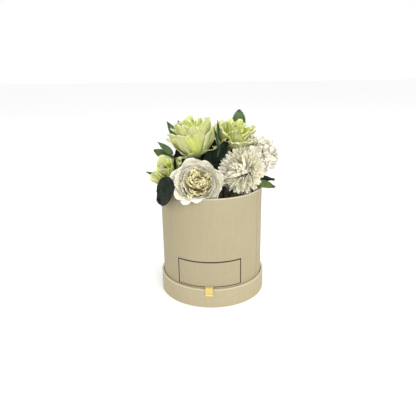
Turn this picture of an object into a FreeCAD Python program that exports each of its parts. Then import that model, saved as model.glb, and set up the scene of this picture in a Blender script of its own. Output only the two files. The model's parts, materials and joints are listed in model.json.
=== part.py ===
import FreeCAD, Part
import math
import os

# A round flower box: a paper-covered board tube that stands in its own upturned lid, with a
# curved-front drawer under its planting floor, and an arrangement of artificial flowers on picks
# in a foam block. Millimetres. The origin is on the table at the tube's axis, +Z is up and the
# drawer faces -Y. A bearing is counted in degrees from the front (-Y) towards +X.

Vector = FreeCAD.Vector
UP = Vector(0, 0, 1)

# Board, paper and fits
board = 2.3              # rolled or cut greyboard
paper = 0.35             # covering paper with its glue
glue_slip = 0.1          # room left where one curved piece is glued to another
moving_gap = 0.3         # least room between pieces that move on each other
cut_reach = 5.0          # how far a cutting block runs past what it cuts

# Tube
tube_radius = 85.0       # outside of the covering paper
mouth_height = 183.9     # top edge above the table
mouth_turn_in = 22.0     # paper folded over the mouth and down inside
seam_bearing = 68.0      # where the covering paper laps over itself
seam_width = 12.0

# Lid, standing upturned under the tube
lid_plate_thickness = 2.4
lid_depth = 32.0         # outside height
lid_gap = 1.2            # room round the tube inside the lid
lid_turn_in = 10.0

# Drawer compartment
opening_bottom = 34.4
opening_height = 45.2
opening_half_width = 51.2
guide_length = 125.0
guide_step = 1.9         # how far the guides stand in from the opening's sides
stop_back = 59.6         # back face of the compartment's end board
divider_gap = 1.4        # from the top of the opening to the planting floor

# Drawer
face_side_gap = 0.9
face_bottom_gap = 1.4
face_top_gap = 1.3
tray_board = 2.0
tray_side_gap = 0.8      # tray to guide
tray_rim_gap = 5.6       # from the tray's rim up to the top of the opening
tray_front_wall = 64.5   # front face of the straight wall, from the axis

# Ribbon pull
ribbon_width = 12.8
ribbon_thickness = 0.7
ribbon_glued_length = 10.0   # how far the ribbon runs back past the tray's front wall
ribbon_fold_gap = 0.7    # bare fold between the glued end and the hanging tab
ribbon_lid_gap = 0.6     # hanging tab to the lid's side
ribbon_tab_bottom = 21.0
ribbon_recess_gap = 0.1  # room at the recess's sides and end

# Planting foam
foam_top = 160.0
foam_edge_gap = 1.0
foam_hole_gap = 0.25     # room round a stem
stem_depth = 50.0        # how far a flower's stem goes into the foam
petiole_depth = 30.0     # and a leaf's

# Flower picks
stem_radius = 1.8
petiole_radius = 0.9
stem_bend = 9.0
petiole_bend = 6.0
leaf_thickness = 0.7
squeeze_gap = 0.25       # room between neighbours that press on each other
rim_gap = 0.5            # flower or leaf to the mouth's edge
calyx_share = 0.32       # calyx radius to head radius
calyx_length = 9.0
neck_length = 7.0        # straight stem behind the calyx
core_neck_radius = 3.0
head_back = 0.93         # the flat back that the calyx is glued to, as a share of the radius

# Derived sizes
wrap_inner = tube_radius - paper
tube_board_outer = wrap_inner - glue_slip
tube_board_inner = tube_board_outer - board
disc_radius = tube_board_inner - glue_slip
turn_in_radius = disc_radius - paper
lid_well_radius = tube_radius + lid_gap
lid_board_inner = lid_well_radius + paper + glue_slip
lid_board_outer = lid_board_inner + board
lid_wrap_inner = lid_board_outer + glue_slip
lid_radius = lid_wrap_inner + paper
tube_bottom = lid_plate_thickness
opening_top = opening_bottom + opening_height
divider_bottom = opening_top + divider_gap
divider_top = divider_bottom + board
tray_bottom = opening_bottom + moving_gap
tray_top = opening_top - tray_rim_gap
guide_inner = opening_half_width - guide_step
tray_half_width = guide_inner - tray_side_gap
tray_back = stop_back - board - moving_gap
face_half_width = opening_half_width - face_side_gap
face_bottom = opening_bottom + face_bottom_gap
face_top = opening_top - face_top_gap
ribbon_top = face_bottom - moving_gap
ribbon_bottom = ribbon_top - ribbon_thickness
hinge_y = -(lid_radius + ribbon_lid_gap + ribbon_thickness / 2)
hinge_z = (ribbon_top + ribbon_bottom) / 2
foam_radius = disc_radius - foam_edge_gap


# Plain shapes

def polar(bearing, reach, height):
    """A point at a bearing, a distance from the axis and a height."""
    turn = math.radians(bearing)
    return Vector(reach * math.sin(turn), -reach * math.cos(turn), height)


def over_mouth(bearing, inset, rise):
    """A point set in from the tube's outside and raised above its mouth."""
    return polar(bearing, tube_radius - inset, mouth_height + rise)


def facing(bearing, elevation):
    """A direction."""
    lift = math.radians(elevation)
    level = polar(bearing, math.cos(lift), 0)
    return Vector(level.x, level.y, math.sin(lift))


def disc(radius, bottom, top):
    return Part.makeCylinder(radius, top - bottom, Vector(0, 0, bottom))


def ring(inner, outer, bottom, top):
    return disc(outer, bottom, top).cut(disc(inner, bottom, top))


def slab(x0, x1, y0, y1, z0, z1):
    return Part.makeBox(x1 - x0, y1 - y0, z1 - z0, Vector(x0, y0, z0))


def fused(first, *others):
    return first.fuse(list(others)).removeSplitter()


def half_space(point, direction, size=400.0):
    """A large block that fills the side of a plane that direction points to."""
    block = Part.makeBox(size, size, size, Vector(-size / 2, -size / 2, 0))
    block.Placement = FreeCAD.Placement(point, FreeCAD.Rotation(UP, direction))
    return block


def bent_rod(points, radius, bend):
    """A round rod along straight runs joined by tangent arcs."""
    edges = []
    start = points[0]
    for before, corner, after in zip(points, points[1:], points[2:]):
        into = (corner - before).normalize()
        out = (after - corner).normalize()
        half = into.getAngle(out) / 2
        setback = bend * math.tan(half)
        inward = (out - into).normalize()
        middle = corner + inward * (bend / math.cos(half) - bend)
        arc_start = corner - into * setback
        arc_end = corner + out * setback
        edges.append(Part.LineSegment(start, arc_start).toShape())
        edges.append(Part.Arc(arc_start, middle, arc_end).toShape())
        start = arc_end
    edges.append(Part.LineSegment(start, points[-1]).toShape())
    section = Part.Circle(points[0], points[1] - points[0], radius).toShape()
    return Part.Wire(edges).makePipe(Part.Face(Part.Wire([section])))


def foam_hole(foot, down, radius, depth):
    """What a stem takes out of the foam, open at the top and a little deeper than the stem."""
    start = foot - down * depth
    return Part.makeCylinder(radius + foam_hole_gap, 2 * depth + foam_hole_gap, start, down)


# Tube and its fittings

def opening_block(bottom, top, half_width):
    """The space that the drawer's opening takes out of the tube's front."""
    return slab(-half_width, half_width, -tube_radius - cut_reach, 0, bottom, top)


def opening():
    return opening_block(opening_bottom, opening_top, opening_half_width)


def tube_wall():
    wall = ring(tube_board_inner, tube_board_outer, tube_bottom, mouth_height - paper)
    return wall.cut(opening())


def tube_wrap():
    """The covering paper, folded over the mouth, with the seam's lap standing out."""
    outside = ring(wrap_inner, tube_radius, tube_bottom, mouth_height)
    over_edge = ring(turn_in_radius, wrap_inner, mouth_height - paper, mouth_height)
    inside = ring(turn_in_radius, disc_radius, mouth_height - mouth_turn_in, mouth_height)
    lap = ring(tube_radius - paper / 2, tube_radius + paper, tube_bottom, mouth_height)
    centre = polar(seam_bearing, tube_radius, 0)
    strip = Part.makeBox(2 * cut_reach, seam_width, mouth_height, Vector(-cut_reach, -seam_width / 2, 0))
    strip.Placement = FreeCAD.Placement(centre, FreeCAD.Rotation(UP, seam_bearing - 90))
    return fused(outside, over_edge, inside, lap.common(strip)).cut(opening())


def tube_floor():
    return disc(disc_radius, tube_bottom, tube_bottom + board)


def drawer_shelf():
    return disc(disc_radius, opening_bottom - board, opening_bottom)


def divider_floor():
    return disc(disc_radius, divider_bottom, divider_top)


def guide(side):
    near = side * guide_inner
    far = side * (guide_inner + board)
    half = guide_length / 2
    return slab(min(near, far), max(near, far), -half, half, opening_bottom, divider_bottom)


def back_stop():
    return slab(-guide_inner, guide_inner, stop_back - board, stop_back, opening_bottom, divider_bottom)


# Lid

def lid_plate():
    return disc(lid_board_inner - glue_slip, 0, lid_plate_thickness)


def lid_ring():
    return ring(lid_board_inner, lid_board_outer, 0, lid_depth - paper)


def lid_wrap():
    outside = ring(lid_wrap_inner, lid_radius, 0, lid_depth)
    over_edge = ring(lid_well_radius, lid_wrap_inner, lid_depth - paper, lid_depth)
    inside = ring(lid_well_radius, lid_well_radius + paper, lid_depth - lid_turn_in, lid_depth)
    return fused(outside, over_edge, inside)


# Drawer

def front_sector(inner, outer, half_width, bottom, top):
    """A piece of the tube's front, cut off by upright faces parallel to Y."""
    front = opening_block(bottom, top, half_width)
    return ring(inner, outer, bottom, top).common(front)


def drawer_face():
    return front_sector(tube_board_inner, tube_board_outer, face_half_width - paper,
                        face_bottom + paper, face_top - paper)


def drawer_face_wrap():
    """Paper over the face and turned round its four edges."""
    sheet = front_sector(tube_board_inner, tube_radius, face_half_width, face_bottom, face_top)
    hollow = front_sector(tube_board_inner - cut_reach, wrap_inner, face_half_width - paper,
                          face_bottom + paper, face_top - paper)
    return sheet.cut(hollow)


def behind_face():
    """What lies behind the face's curved back."""
    return disc(disc_radius, tray_bottom - cut_reach, tray_top + cut_reach)


def ribbon_recess():
    half = ribbon_width / 2 + ribbon_recess_gap
    back = -tray_front_wall + ribbon_glued_length
    return slab(-half, half, -tube_radius, back, tray_bottom, ribbon_top)


def tray_base():
    plate = slab(-tray_half_width, tray_half_width, -tube_radius, tray_back,
                 tray_bottom, tray_bottom + tray_board)
    return plate.common(behind_face()).cut(ribbon_recess())


def tray_side(side):
    inner = side * (tray_half_width - tray_board)
    outer = side * tray_half_width
    wall = slab(min(inner, outer), max(inner, outer), -tube_radius, tray_back,
                tray_bottom + tray_board, tray_top)
    return wall.common(behind_face())


def tray_cross_wall(front):
    half = tray_half_width - tray_board
    return slab(-half, half, front, front + tray_board,
                tray_bottom + tray_board, tray_top)


def ribbon_anchor():
    """The glued end of the ribbon, from the recess to just short of the fold."""
    half = ribbon_width / 2
    end = hinge_y + ribbon_thickness / 2 + ribbon_fold_gap
    back = -tray_front_wall + ribbon_glued_length - ribbon_recess_gap
    return slab(-half, half, end, back, ribbon_bottom, ribbon_top)


def ribbon_tab():
    """The hanging end, which swings about the fold."""
    half = ribbon_width / 2
    thick = ribbon_thickness / 2
    return slab(-half, half, hinge_y - thick, hinge_y + thick, ribbon_tab_bottom, hinge_z - thick)


# Flowers

class Bloom:
    """One flower on its pick: a petal ball threaded on its core, and a stem with its calyx."""

    def __init__(self, name, at, radius, core, faces, foot):
        self.name = name
        self.centre = over_mouth(*at)
        self.radius = radius
        self.core_radius = core
        self.axis = facing(*faces)
        self.foot = over_mouth(foot[0], foot[1], foam_top - mouth_height)
        self.back = self.centre - self.axis * (radius * head_back)
        self.knee = self.back - self.axis * (calyx_length + neck_length)
        self.down = (self.foot - self.knee).normalize()

    def core(self, grow=0.0):
        """The bud in the middle, with the neck that sits on the calyx."""
        bud = Part.makeSphere(self.core_radius + grow, self.centre, self.axis)
        neck = Part.makeCylinder(core_neck_radius + grow, self.radius * head_back, self.back, self.axis)
        return fused(bud, neck)

    def ball(self):
        """Petal ball with a flat back and a socket for the core."""
        ball = Part.makeSphere(self.radius, self.centre, self.axis)
        return ball.cut(half_space(self.back, self.axis * -1)).cut(self.core(glue_slip))

    def stem(self):
        calyx = Part.makeCone(self.radius * calyx_share, stem_radius, calyx_length,
                              self.back, self.axis * -1)
        end = self.foot + self.down * stem_depth
        return fused(calyx, bent_rod([self.back, self.knee, end], stem_radius, stem_bend))

    def hole(self):
        return foam_hole(self.foot, self.down, stem_radius, stem_depth)


# name, (bearing, inset, rise), radius, core radius, (bearing, elevation) it faces, (bearing, inset) of
# the place where its stem enters the foam
blooms = [
    Bloom("rose_front", (-19, 29, 23), 38, 16, (-6, 28), (-55, 66)),
    Bloom("chrysanthemum", (54, 20, 33), 36, 15, (-24, 20), (84, 34)),
    Bloom("hydrangea_right", (102, 2, 46), 27, 15, (70, 40), (108, 36)),
    Bloom("green_left", (-82, 56, 77), 35, 14, (0, 76), (-96, 58)),
    Bloom("green_right", (105, 42, 79), 30, 12, (20, 72), (106, 53)),
    Bloom("rose_left", (-71, 9, 32), 25, 10, (-50, 45), (-68, 32)),
    Bloom("rose_back", (-139, 21, 30), 33, 14, (-140, 42), (-139, 54)),
    Bloom("hydrangea_back", (153, 20, 38), 31, 15, (152, 42), (153, 50)),
]


# Leaves

class Leaf:
    """One or more flat blades on a bent petiole that goes down into the foam."""

    def __init__(self, name, blades, looks, knee, foot):
        self.name = name
        self.blades = [(over_mouth(*tip), over_mouth(*base), width) for tip, base, width in blades]
        self.looks = facing(*looks)
        self.knee = over_mouth(*knee)
        self.foot = over_mouth(foot[0], foot[1], foam_top - mouth_height)
        self.down = (self.foot - self.knee).normalize()

    def blade(self, tip, base, width, grow=0.0):
        """A pointed oval between two arcs, with the given side up."""
        along = (tip - base).normalize()
        across = along.cross(self.looks).normalize()
        normal = across.cross(along).normalize()
        lower = base - along * grow
        upper = tip + along * grow
        middle = (lower + upper) * 0.5
        half = width / 2 + grow
        right = Part.Arc(lower, middle + across * half, upper).toShape()
        left = Part.Arc(upper, middle - across * half, lower).toShape()
        outline = Part.Face(Part.Wire([right, left]))
        outline.translate(normal * (-leaf_thickness / 2 - grow))
        return outline.extrude(normal * (leaf_thickness + 2 * grow))

    def petiole(self, grow=0.0):
        """From inside the blades' feet over the knee to the foot in the foam."""
        end = self.foot + self.down * petiole_depth
        rods = []
        for tip, base, width in self.blades:
            start = base + (tip - base).normalize() * (width / 4)
            rods.append(bent_rod([start, self.knee, end], petiole_radius + grow, petiole_bend))
        return rods

    def solid(self, grow=0.0):
        pieces = [self.blade(tip, base, width, grow) for tip, base, width in self.blades]
        pieces += self.petiole(grow)
        return fused(pieces[0], *pieces[1:])

    def hole(self):
        return foam_hole(self.foot, self.down, petiole_radius, petiole_depth)


# name, blades as (tip, base, width) with places as (bearing, inset, rise), (bearing, elevation) the
# upper side faces, (bearing, inset, rise) of the petiole's knee, (bearing, inset) of its foot
leaves = [
    Leaf("leaf_top_right", [((133, 21, 118), (138, 19, 84), 20)], (10, 10), (116, 31, 41), (135, 36)),
    Leaf("leaf_top_left", [((-104, 12, 97), (-111, 27, 73), 8)], (-10, 20), (-98, 27, 33), (-98, 30)),
    Leaf("leaf_upper_left", [((-113, 27, 102), (-131, 35, 75), 13)], (-5, 15), (-98, 36, 44), (-94, 38)),
    Leaf("leaf_left_high", [((-89, -2, 72), (-90, 22, 52), 10)], (0, 20), (-90, 24, 40), (-88, 26)),
    Leaf("leaf_left_olive", [((-91, -10, 58), (-94, 21, 40), 15)], (0, 30), (-97, 22, 30), (-99, 24)),
    Leaf("leaf_left_low", [((-90, -25, 21), (-91, -2, 10), 7)], (0, 40), (-92, 10, 12), (-93, 20)),
    Leaf("leaf_rim", [((-60, -10, -7), (-33, -4, 5), 33)], (-43, 12), (-31, 12, 9), (-34, 24)),
    Leaf("leaf_between", [((-57, 29, 47), (-60, 25, 17), 8)], (-20, 10), (-60, 27, 8), (-58, 30)),
    Leaf("sprig_centre", [((23, 51, 111), (23, 47, 84), 5), ((12, 49, 101), (22, 43, 66), 5)],
         (10, 10), (25, 47, 32), (38, 62)),
    Leaf("leaf_centre", [((52, 46, 81), (17, 56, 46), 18)], (0, 20), (12, 60, 34), (23, 70)),
    Leaf("leaf_right", [((86, -21, 10), (84, 14, 8), 14)], (0, 60), (77, 20, 8), (76, 28)),
    Leaf("leaf_right_low", [((80, -22, 0), (72, 10, 7), 15)], (0, 60), (72, 20, 9), (72, 26)),
    Leaf("leaf_back_left", [((-165, -14, 22), (-168, 12, 14), 22)], (-165, 60), (-168, 22, 10), (-168, 30)),
    Leaf("leaf_back_right", [((172, -6, 46), (174, 14, 22), 20)], (172, 35), (174, 24, 10), (174, 30)),
]


def divide_heads(shapes):
    """Where two heads press on each other both give way to a plane between them."""
    for index, first in enumerate(blooms):
        for second in blooms[index + 1:]:
            span = second.centre - first.centre
            if span.Length > first.radius + second.radius + squeeze_gap:
                continue
            toward = Vector(span).normalize()
            share = span.Length + (first.radius ** 2 - second.radius ** 2) / span.Length
            plane = first.centre + toward * (share / 2)
            side = toward * (squeeze_gap / 2)
            shapes[first.name] = shapes[first.name].cut(half_space(plane - side, toward))
            shapes[second.name] = shapes[second.name].cut(half_space(plane + side, toward * -1))
    return shapes


def mouth_clearance():
    """The mouth's wall with room round it, which heads and leaves stay out of."""
    return ring(turn_in_radius - rim_gap, tube_radius + paper + rim_gap,
                mouth_height - mouth_turn_in, mouth_height + rim_gap)


def petals():
    """Each head's petal ball, shaped by the mouth, its neighbours and the leaves among them."""
    shapes = divide_heads({bloom.name: bloom.ball() for bloom in blooms})
    wall = mouth_clearance()
    among = [leaf.solid(squeeze_gap) for leaf in leaves]
    for bloom in blooms:
        shape = shapes[bloom.name].cut(wall)
        for solid in among + [other.stem() for other in blooms if other is not bloom]:
            if shape.distToShape(solid)[0] < squeeze_gap:
                shape = shape.cut(solid)
        shapes[bloom.name] = shape
    return shapes


def foam_block():
    block = disc(foam_radius, divider_top, foam_top)
    for plant in blooms + leaves:
        block = block.cut(plant.hole())
    return block


def save(name, shape):
    shape.exportStep(os.path.join("parts", name + ".step"))


def main():
    os.makedirs("parts", exist_ok=True)
    pieces = {
        "lid_plate": lid_plate(),
        "lid_ring": lid_ring(),
        "lid_wrap": lid_wrap(),
        "tube_wall": tube_wall(),
        "tube_wrap": tube_wrap(),
        "tube_floor": tube_floor(),
        "drawer_shelf": drawer_shelf(),
        "guide_left": guide(-1),
        "guide_right": guide(1),
        "back_stop": back_stop(),
        "divider_floor": divider_floor(),
        "foam_block": foam_block(),
        "drawer_face": drawer_face(),
        "drawer_face_wrap": drawer_face_wrap(),
        "tray_base": tray_base(),
        "tray_left": tray_side(-1),
        "tray_right": tray_side(1),
        "tray_back": tray_cross_wall(tray_back - tray_board),
        "tray_front": tray_cross_wall(-tray_front_wall),
        "ribbon_anchor": ribbon_anchor(),
        "ribbon_tab": ribbon_tab(),
    }
    heads = petals()
    for bloom in blooms:
        pieces[bloom.name + "_petals"] = heads[bloom.name]
        pieces[bloom.name + "_core"] = bloom.core()
        pieces[bloom.name + "_stem"] = bloom.stem()
    for leaf in leaves:
        pieces[leaf.name] = leaf.solid()
    for name, shape in pieces.items():
        save(name, shape)


main()
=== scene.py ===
"""A round flower box with a drawer, dressed for the camera.

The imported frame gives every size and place: the box, its lid, the drawer and the simple balls and
blades that stand for the flowers. The classes below replace those balls and blades with petals,
leaves, stems and a ribbon, and give every piece its finish.
"""

import json
import logging
import math
import random
from dataclasses import dataclass, replace
from enum import Enum
from typing import Callable, Iterable, Sequence, Union

import bmesh
import bpy
from mathutils import Euler, Matrix, Vector

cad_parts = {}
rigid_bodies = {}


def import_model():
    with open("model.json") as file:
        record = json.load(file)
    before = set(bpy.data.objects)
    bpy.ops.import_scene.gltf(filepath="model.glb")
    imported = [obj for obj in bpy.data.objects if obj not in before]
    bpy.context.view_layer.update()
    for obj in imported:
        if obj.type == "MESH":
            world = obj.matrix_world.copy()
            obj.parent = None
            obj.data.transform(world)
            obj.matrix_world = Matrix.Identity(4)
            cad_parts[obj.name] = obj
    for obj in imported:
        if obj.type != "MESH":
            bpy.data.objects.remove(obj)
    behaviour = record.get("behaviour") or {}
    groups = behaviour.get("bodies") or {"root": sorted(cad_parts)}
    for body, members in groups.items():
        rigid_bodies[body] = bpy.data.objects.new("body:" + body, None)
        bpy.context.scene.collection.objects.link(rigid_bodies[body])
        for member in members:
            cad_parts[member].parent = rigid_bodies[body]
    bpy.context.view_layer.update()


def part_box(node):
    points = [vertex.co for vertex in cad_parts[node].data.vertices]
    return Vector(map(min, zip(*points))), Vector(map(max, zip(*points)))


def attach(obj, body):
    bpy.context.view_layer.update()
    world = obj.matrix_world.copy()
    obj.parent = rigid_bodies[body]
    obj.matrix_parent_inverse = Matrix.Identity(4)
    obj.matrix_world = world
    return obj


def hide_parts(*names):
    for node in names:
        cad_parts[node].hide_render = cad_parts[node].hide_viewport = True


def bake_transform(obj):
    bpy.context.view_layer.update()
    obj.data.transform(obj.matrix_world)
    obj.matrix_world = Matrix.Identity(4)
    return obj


LOG = logging.getLogger("flower_box")
MM = 0.001
RUFFLE_STEP = 0.37
RIPPLE_STEP = 0.61
RIPPLE_SIZE = 0.22
GOLDEN_ANGLE = 137.508
Colour = tuple[float, float, float]
Place = tuple[float, float, float]
Shape = bpy.types.Object
Socket = bpy.types.NodeSocket
Fed = Union[Socket, float, Sequence[float]]
Parts = Iterable[tuple[str, "Finish", str, list[Shape]]]


# ---------------------------------------------------------------------------------------------
# Modelling by hand: selections, modifiers, copies
# ---------------------------------------------------------------------------------------------


def only(obj: Shape) -> Shape:
    """Selects one object alone and makes it active."""
    bpy.ops.object.select_all(action="DESELECT")
    obj.select_set(True)
    bpy.context.view_layer.objects.active = obj
    return obj


def select_vertices(obj: Shape, test: Callable[[bmesh.types.BMVert], bool]) -> None:
    """Selects the vertices of the object in edit mode that pass a test.

    Args:
        obj: the object, which is in edit mode.
        test: called with each vertex.
    """
    bpy.ops.mesh.select_all(action="DESELECT")
    mesh = bmesh.from_edit_mesh(obj.data)
    mesh.verts.ensure_lookup_table()
    mesh.verts.index_update()
    for vertex in [v for v in mesh.verts if test(v)]:
        vertex.select_set(True)
    mesh.select_flush_mode()
    bmesh.update_edit_mesh(obj.data)


def apply_modifiers(obj: Shape) -> None:
    """Applies every modifier, in order."""
    only(obj)
    for modifier in list(obj.modifiers):
        bpy.ops.object.modifier_apply(modifier=modifier.name)


def shade(obj: Shape, angle: float = 60.0) -> None:
    """Smooths shading over edges that turn by less than the angle, in degrees."""
    only(obj)
    bpy.ops.object.shade_smooth_by_angle(angle=math.radians(angle))


def standing_sheet(name: str, columns: int, rows: int) -> Shape:
    """Adds a flat square sheet that stands on the origin, and leaves it in edit mode.

    Args:
        name: its name.
        columns: faces across.
        rows: faces from foot to top.

    Returns:
        The sheet, one unit high and wide.
    """
    bpy.ops.object.select_all(action="DESELECT")
    upright = (math.pi / 2, 0, 0)
    bpy.ops.mesh.primitive_grid_add(x_subdivisions=columns, y_subdivisions=rows, size=1.0, rotation=upright)
    sheet = bpy.context.object
    sheet.name = name
    bpy.ops.object.transform_apply(rotation=True)
    bpy.ops.object.mode_set(mode="EDIT")
    bpy.ops.mesh.select_all(action="SELECT")
    bpy.ops.transform.translate(value=(0, 0, 0.5))
    return sheet


def ruffled(
    sheet: Shape, size: float, strength: float, offset: float, depth: int = 2, group: str = ""
) -> None:
    """Ruffles a standing sheet by a cloud of noise.

    Args:
        sheet: the sheet.
        size: how far apart its ruffles are.
        strength: how far the noise moves it.
        offset: where in the noise it stands, which gives each sheet its own ruffles.
        depth: how many finer layers the noise has.
        group: the vertex group that limits them.
    """
    clouds = bpy.data.textures.new(f"{sheet.name}_ruffle", "CLOUDS")
    clouds.noise_scale = size
    clouds.noise_depth = depth
    ruffle = sheet.modifiers.new("ruffle", "DISPLACE")
    ruffle.texture, ruffle.texture_coords, ruffle.direction = clouds, "GLOBAL", "Y"
    ruffle.vertex_group = group
    ruffle.strength = strength
    sheet.location.y = offset
    apply_modifiers(sheet)
    sheet.location.y = 0.0


def bent(sheet: Shape, label: str, axis: str, angle: float) -> None:
    """Adds a bend about an axis by an angle in degrees, still to be applied."""
    bend = sheet.modifiers.new(label, "SIMPLE_DEFORM")
    bend.deform_method, bend.deform_axis, bend.angle = "BEND", axis, math.radians(angle)


def thickened(sheet: Shape, thickness: float, smooth: int = 0) -> None:
    """Gives a sheet its thickness to both sides, smooths it and applies all its modifiers."""
    wall = sheet.modifiers.new("thickness", "SOLIDIFY")
    wall.thickness, wall.offset = thickness, 0.0
    if smooth:
        soften = sheet.modifiers.new("soften", "SUBSURF")
        soften.levels = soften.render_levels = smooth
    apply_modifiers(sheet)


def copy_at(template: Shape, place: Matrix, tone: float = 0.5) -> Shape:
    """Makes a copy with its own mesh, with its place in the mesh.

    Args:
        template: the object that is repeated.
        place: where the copy goes.
        tone: a value between 0 and 1 kept on every vertex, which finishes use to vary shades.

    Returns:
        The copy.
    """
    mesh = template.data.copy()
    mesh.transform(place)
    attribute = mesh.attributes.new("tone", "FLOAT", "POINT")
    attribute.data.foreach_set("value", [tone] * len(mesh.vertices))
    copy = bpy.data.objects.new(template.name, mesh)
    bpy.context.scene.collection.objects.link(copy)
    return copy


def joined(name: str, pieces: Sequence[Shape]) -> Shape:
    """Joins pieces into one object of that name."""
    bpy.ops.object.select_all(action="DESELECT")
    for piece in pieces:
        piece.select_set(True)
    bpy.context.view_layer.objects.active = pieces[0]
    if len(pieces) > 1:
        bpy.ops.object.join()
    pieces[0].name = name
    pieces[0].data.name = name
    return pieces[0]


def discard(*objects: Shape) -> None:
    """Removes templates that have been copied."""
    for obj in objects:
        bpy.data.objects.remove(obj, do_unlink=True)


def facing(bearing: float, elevation: float) -> Vector:
    """A direction, its bearing in degrees from the front towards the right."""
    turn, lift = math.radians(bearing), math.radians(elevation)
    return Vector((math.cos(lift) * math.sin(turn), -math.cos(lift) * math.cos(turn), math.sin(lift)))


def aimed(at: Vector, axis: Vector, roll: float = 0.0) -> Matrix:
    """The place of a thing whose own +Z points along axis.

    Args:
        at: where its origin goes.
        axis: where its +Z points.
        roll: turn about the axis, in degrees.

    Returns:
        The matrix.
    """
    turn = axis.to_track_quat("Z", "Y").to_matrix().to_4x4()
    return Matrix.Translation(at) @ turn @ Matrix.Rotation(math.radians(roll), 4, "Z")


def warp(obj: Shape, name: str, size: float, strength: float) -> None:
    """Bends a whole piece gently by a cloud of noise, so that nothing on it is quite regular.

    Args:
        obj: the piece.
        name: name of the noise.
        size: how far apart its bends are, in metres.
        strength: how far it moves a point at most, in metres.
    """
    clouds = bpy.data.textures.new(name, "CLOUDS")
    clouds.noise_scale = size
    clouds.cloud_type = "COLOR"
    clouds.noise_depth = 1
    displace = obj.modifiers.new("warp", "DISPLACE")
    displace.texture = clouds
    displace.texture_coords = "GLOBAL"
    displace.direction = "RGB_TO_XYZ"
    displace.strength = strength
    apply_modifiers(obj)


# ---------------------------------------------------------------------------------------------
# Node wiring
# ---------------------------------------------------------------------------------------------


class Wiring:
    """Adds nodes to a tree and joins them up."""

    def __init__(self, tree: bpy.types.NodeTree) -> None:
        """Keeps the tree that nodes are added to."""
        self.tree = tree

    def node(self, kind: str, **settings: object) -> bpy.types.Node:
        """Adds a node and sets its properties."""
        made = self.tree.nodes.new(kind)
        for key, value in settings.items():
            setattr(made, key, value)
        return made

    def feed(self, socket: Socket, value: Fed) -> None:
        """Links another node's socket to this one, or sets its value."""
        if isinstance(value, Socket):
            self.tree.links.new(value, socket)
        elif isinstance(value, (int, float)) or socket.type == "VECTOR":
            socket.default_value = value
        else:
            socket.default_value = (*value, 1.0) if len(value) == 3 else tuple(value)

    def math(self, operation: str, first: Fed, second: Fed = 0.0) -> Socket:
        """A Math node's output."""
        made = self.node("ShaderNodeMath", operation=operation)
        self.feed(made.inputs[0], first)
        self.feed(made.inputs[1], second)
        return made.outputs[0]

    def times(self, first: Fed, second: Fed) -> Socket:
        """The product."""
        return self.math("MULTIPLY", first, second)

    def plus(self, first: Fed, second: Fed) -> Socket:
        """The sum."""
        return self.math("ADD", first, second)

    def minus(self, first: Fed, second: Fed) -> Socket:
        """The difference."""
        return self.math("SUBTRACT", first, second)

    def larger(self, first: Fed, second: Fed) -> Socket:
        """The larger of two."""
        return self.math("MAXIMUM", first, second)

    def size_of(self, value: Fed) -> Socket:
        """The value without its sign."""
        return self.math("ABSOLUTE", value)

    def sine(self, value: Fed) -> Socket:
        """The sine."""
        return self.math("SINE", value)

    def place(self) -> Socket:
        """Object coordinates."""
        return self.node("ShaderNodeTexCoord").outputs["Object"]

    def parts(self, vector: Fed) -> bpy.types.bpy_prop_collection:
        """A vector's three parts."""
        made = self.node("ShaderNodeSeparateXYZ")
        self.feed(made.inputs[0], vector)
        return made.outputs

    def ramp(self, value: Fed, low: Fed, high: Fed, to_low: float = 0.0, to_high: float = 1.0) -> Socket:
        """Spreads low..high over to_low..to_high, smoothly and within those ends."""
        made = self.node("ShaderNodeMapRange", interpolation_type="SMOOTHSTEP")
        for socket, fed in zip(made.inputs, (value, low, high, to_low, to_high)):
            self.feed(socket, fed)
        return made.outputs[0]

    def mix(self, share: Fed, first: Fed, second: Fed) -> Socket:
        """A colour mix."""
        made = self.node("ShaderNodeMix", data_type="RGBA")
        self.feed(made.inputs[0], share)
        self.feed(made.inputs[6], first)
        self.feed(made.inputs[7], second)
        return made.outputs[2]

    def noise(self, vector: Fed, scale: float, detail: float = 2.0, roughness: float = 0.5) -> Socket:
        """A noise texture's value."""
        made = self.node("ShaderNodeTexNoise")
        self.feed(made.inputs["Vector"], vector)
        made.inputs["Scale"].default_value = scale
        made.inputs["Detail"].default_value = detail
        made.inputs["Roughness"].default_value = roughness
        return made.outputs["Fac"]

    def scaled(self, vector: Fed, by: Place) -> Socket:
        """A vector times another, axis by axis."""
        made = self.node("ShaderNodeVectorMath", operation="MULTIPLY")
        self.feed(made.inputs[0], vector)
        made.inputs[1].default_value = by
        return made.outputs[0]

    def group(self, tree: bpy.types.NodeTree, **values: Fed) -> bpy.types.Node:
        """Places a node group and feeds its inputs, whose names have underscores for spaces."""
        made = self.node("ShaderNodeGroup", node_tree=tree)
        for key, value in values.items():
            self.feed(made.inputs[key.replace("_", " ")], value)
        return made


def new_group(name: str, takes: dict[str, str], gives: dict[str, str]) -> tuple[
    Wiring, bpy.types.Node, bpy.types.Node
]:
    """Starts a shader node group.

    Args:
        name: the group's name.
        takes: input names and their kinds: Float, Vector or Color.
        gives: output names and their kinds.

    Returns:
        The group's wiring, its input node and its output node.
    """
    tree = bpy.data.node_groups.new(name, "ShaderNodeTree")
    for label, kind in takes.items():
        tree.interface.new_socket(name=label, in_out="INPUT", socket_type="NodeSocket" + kind)
    for label, kind in gives.items():
        tree.interface.new_socket(name=label, in_out="OUTPUT", socket_type="NodeSocket" + kind)
    wires = Wiring(tree)
    return wires, wires.node("NodeGroupInput"), wires.node("NodeGroupOutput")


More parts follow.
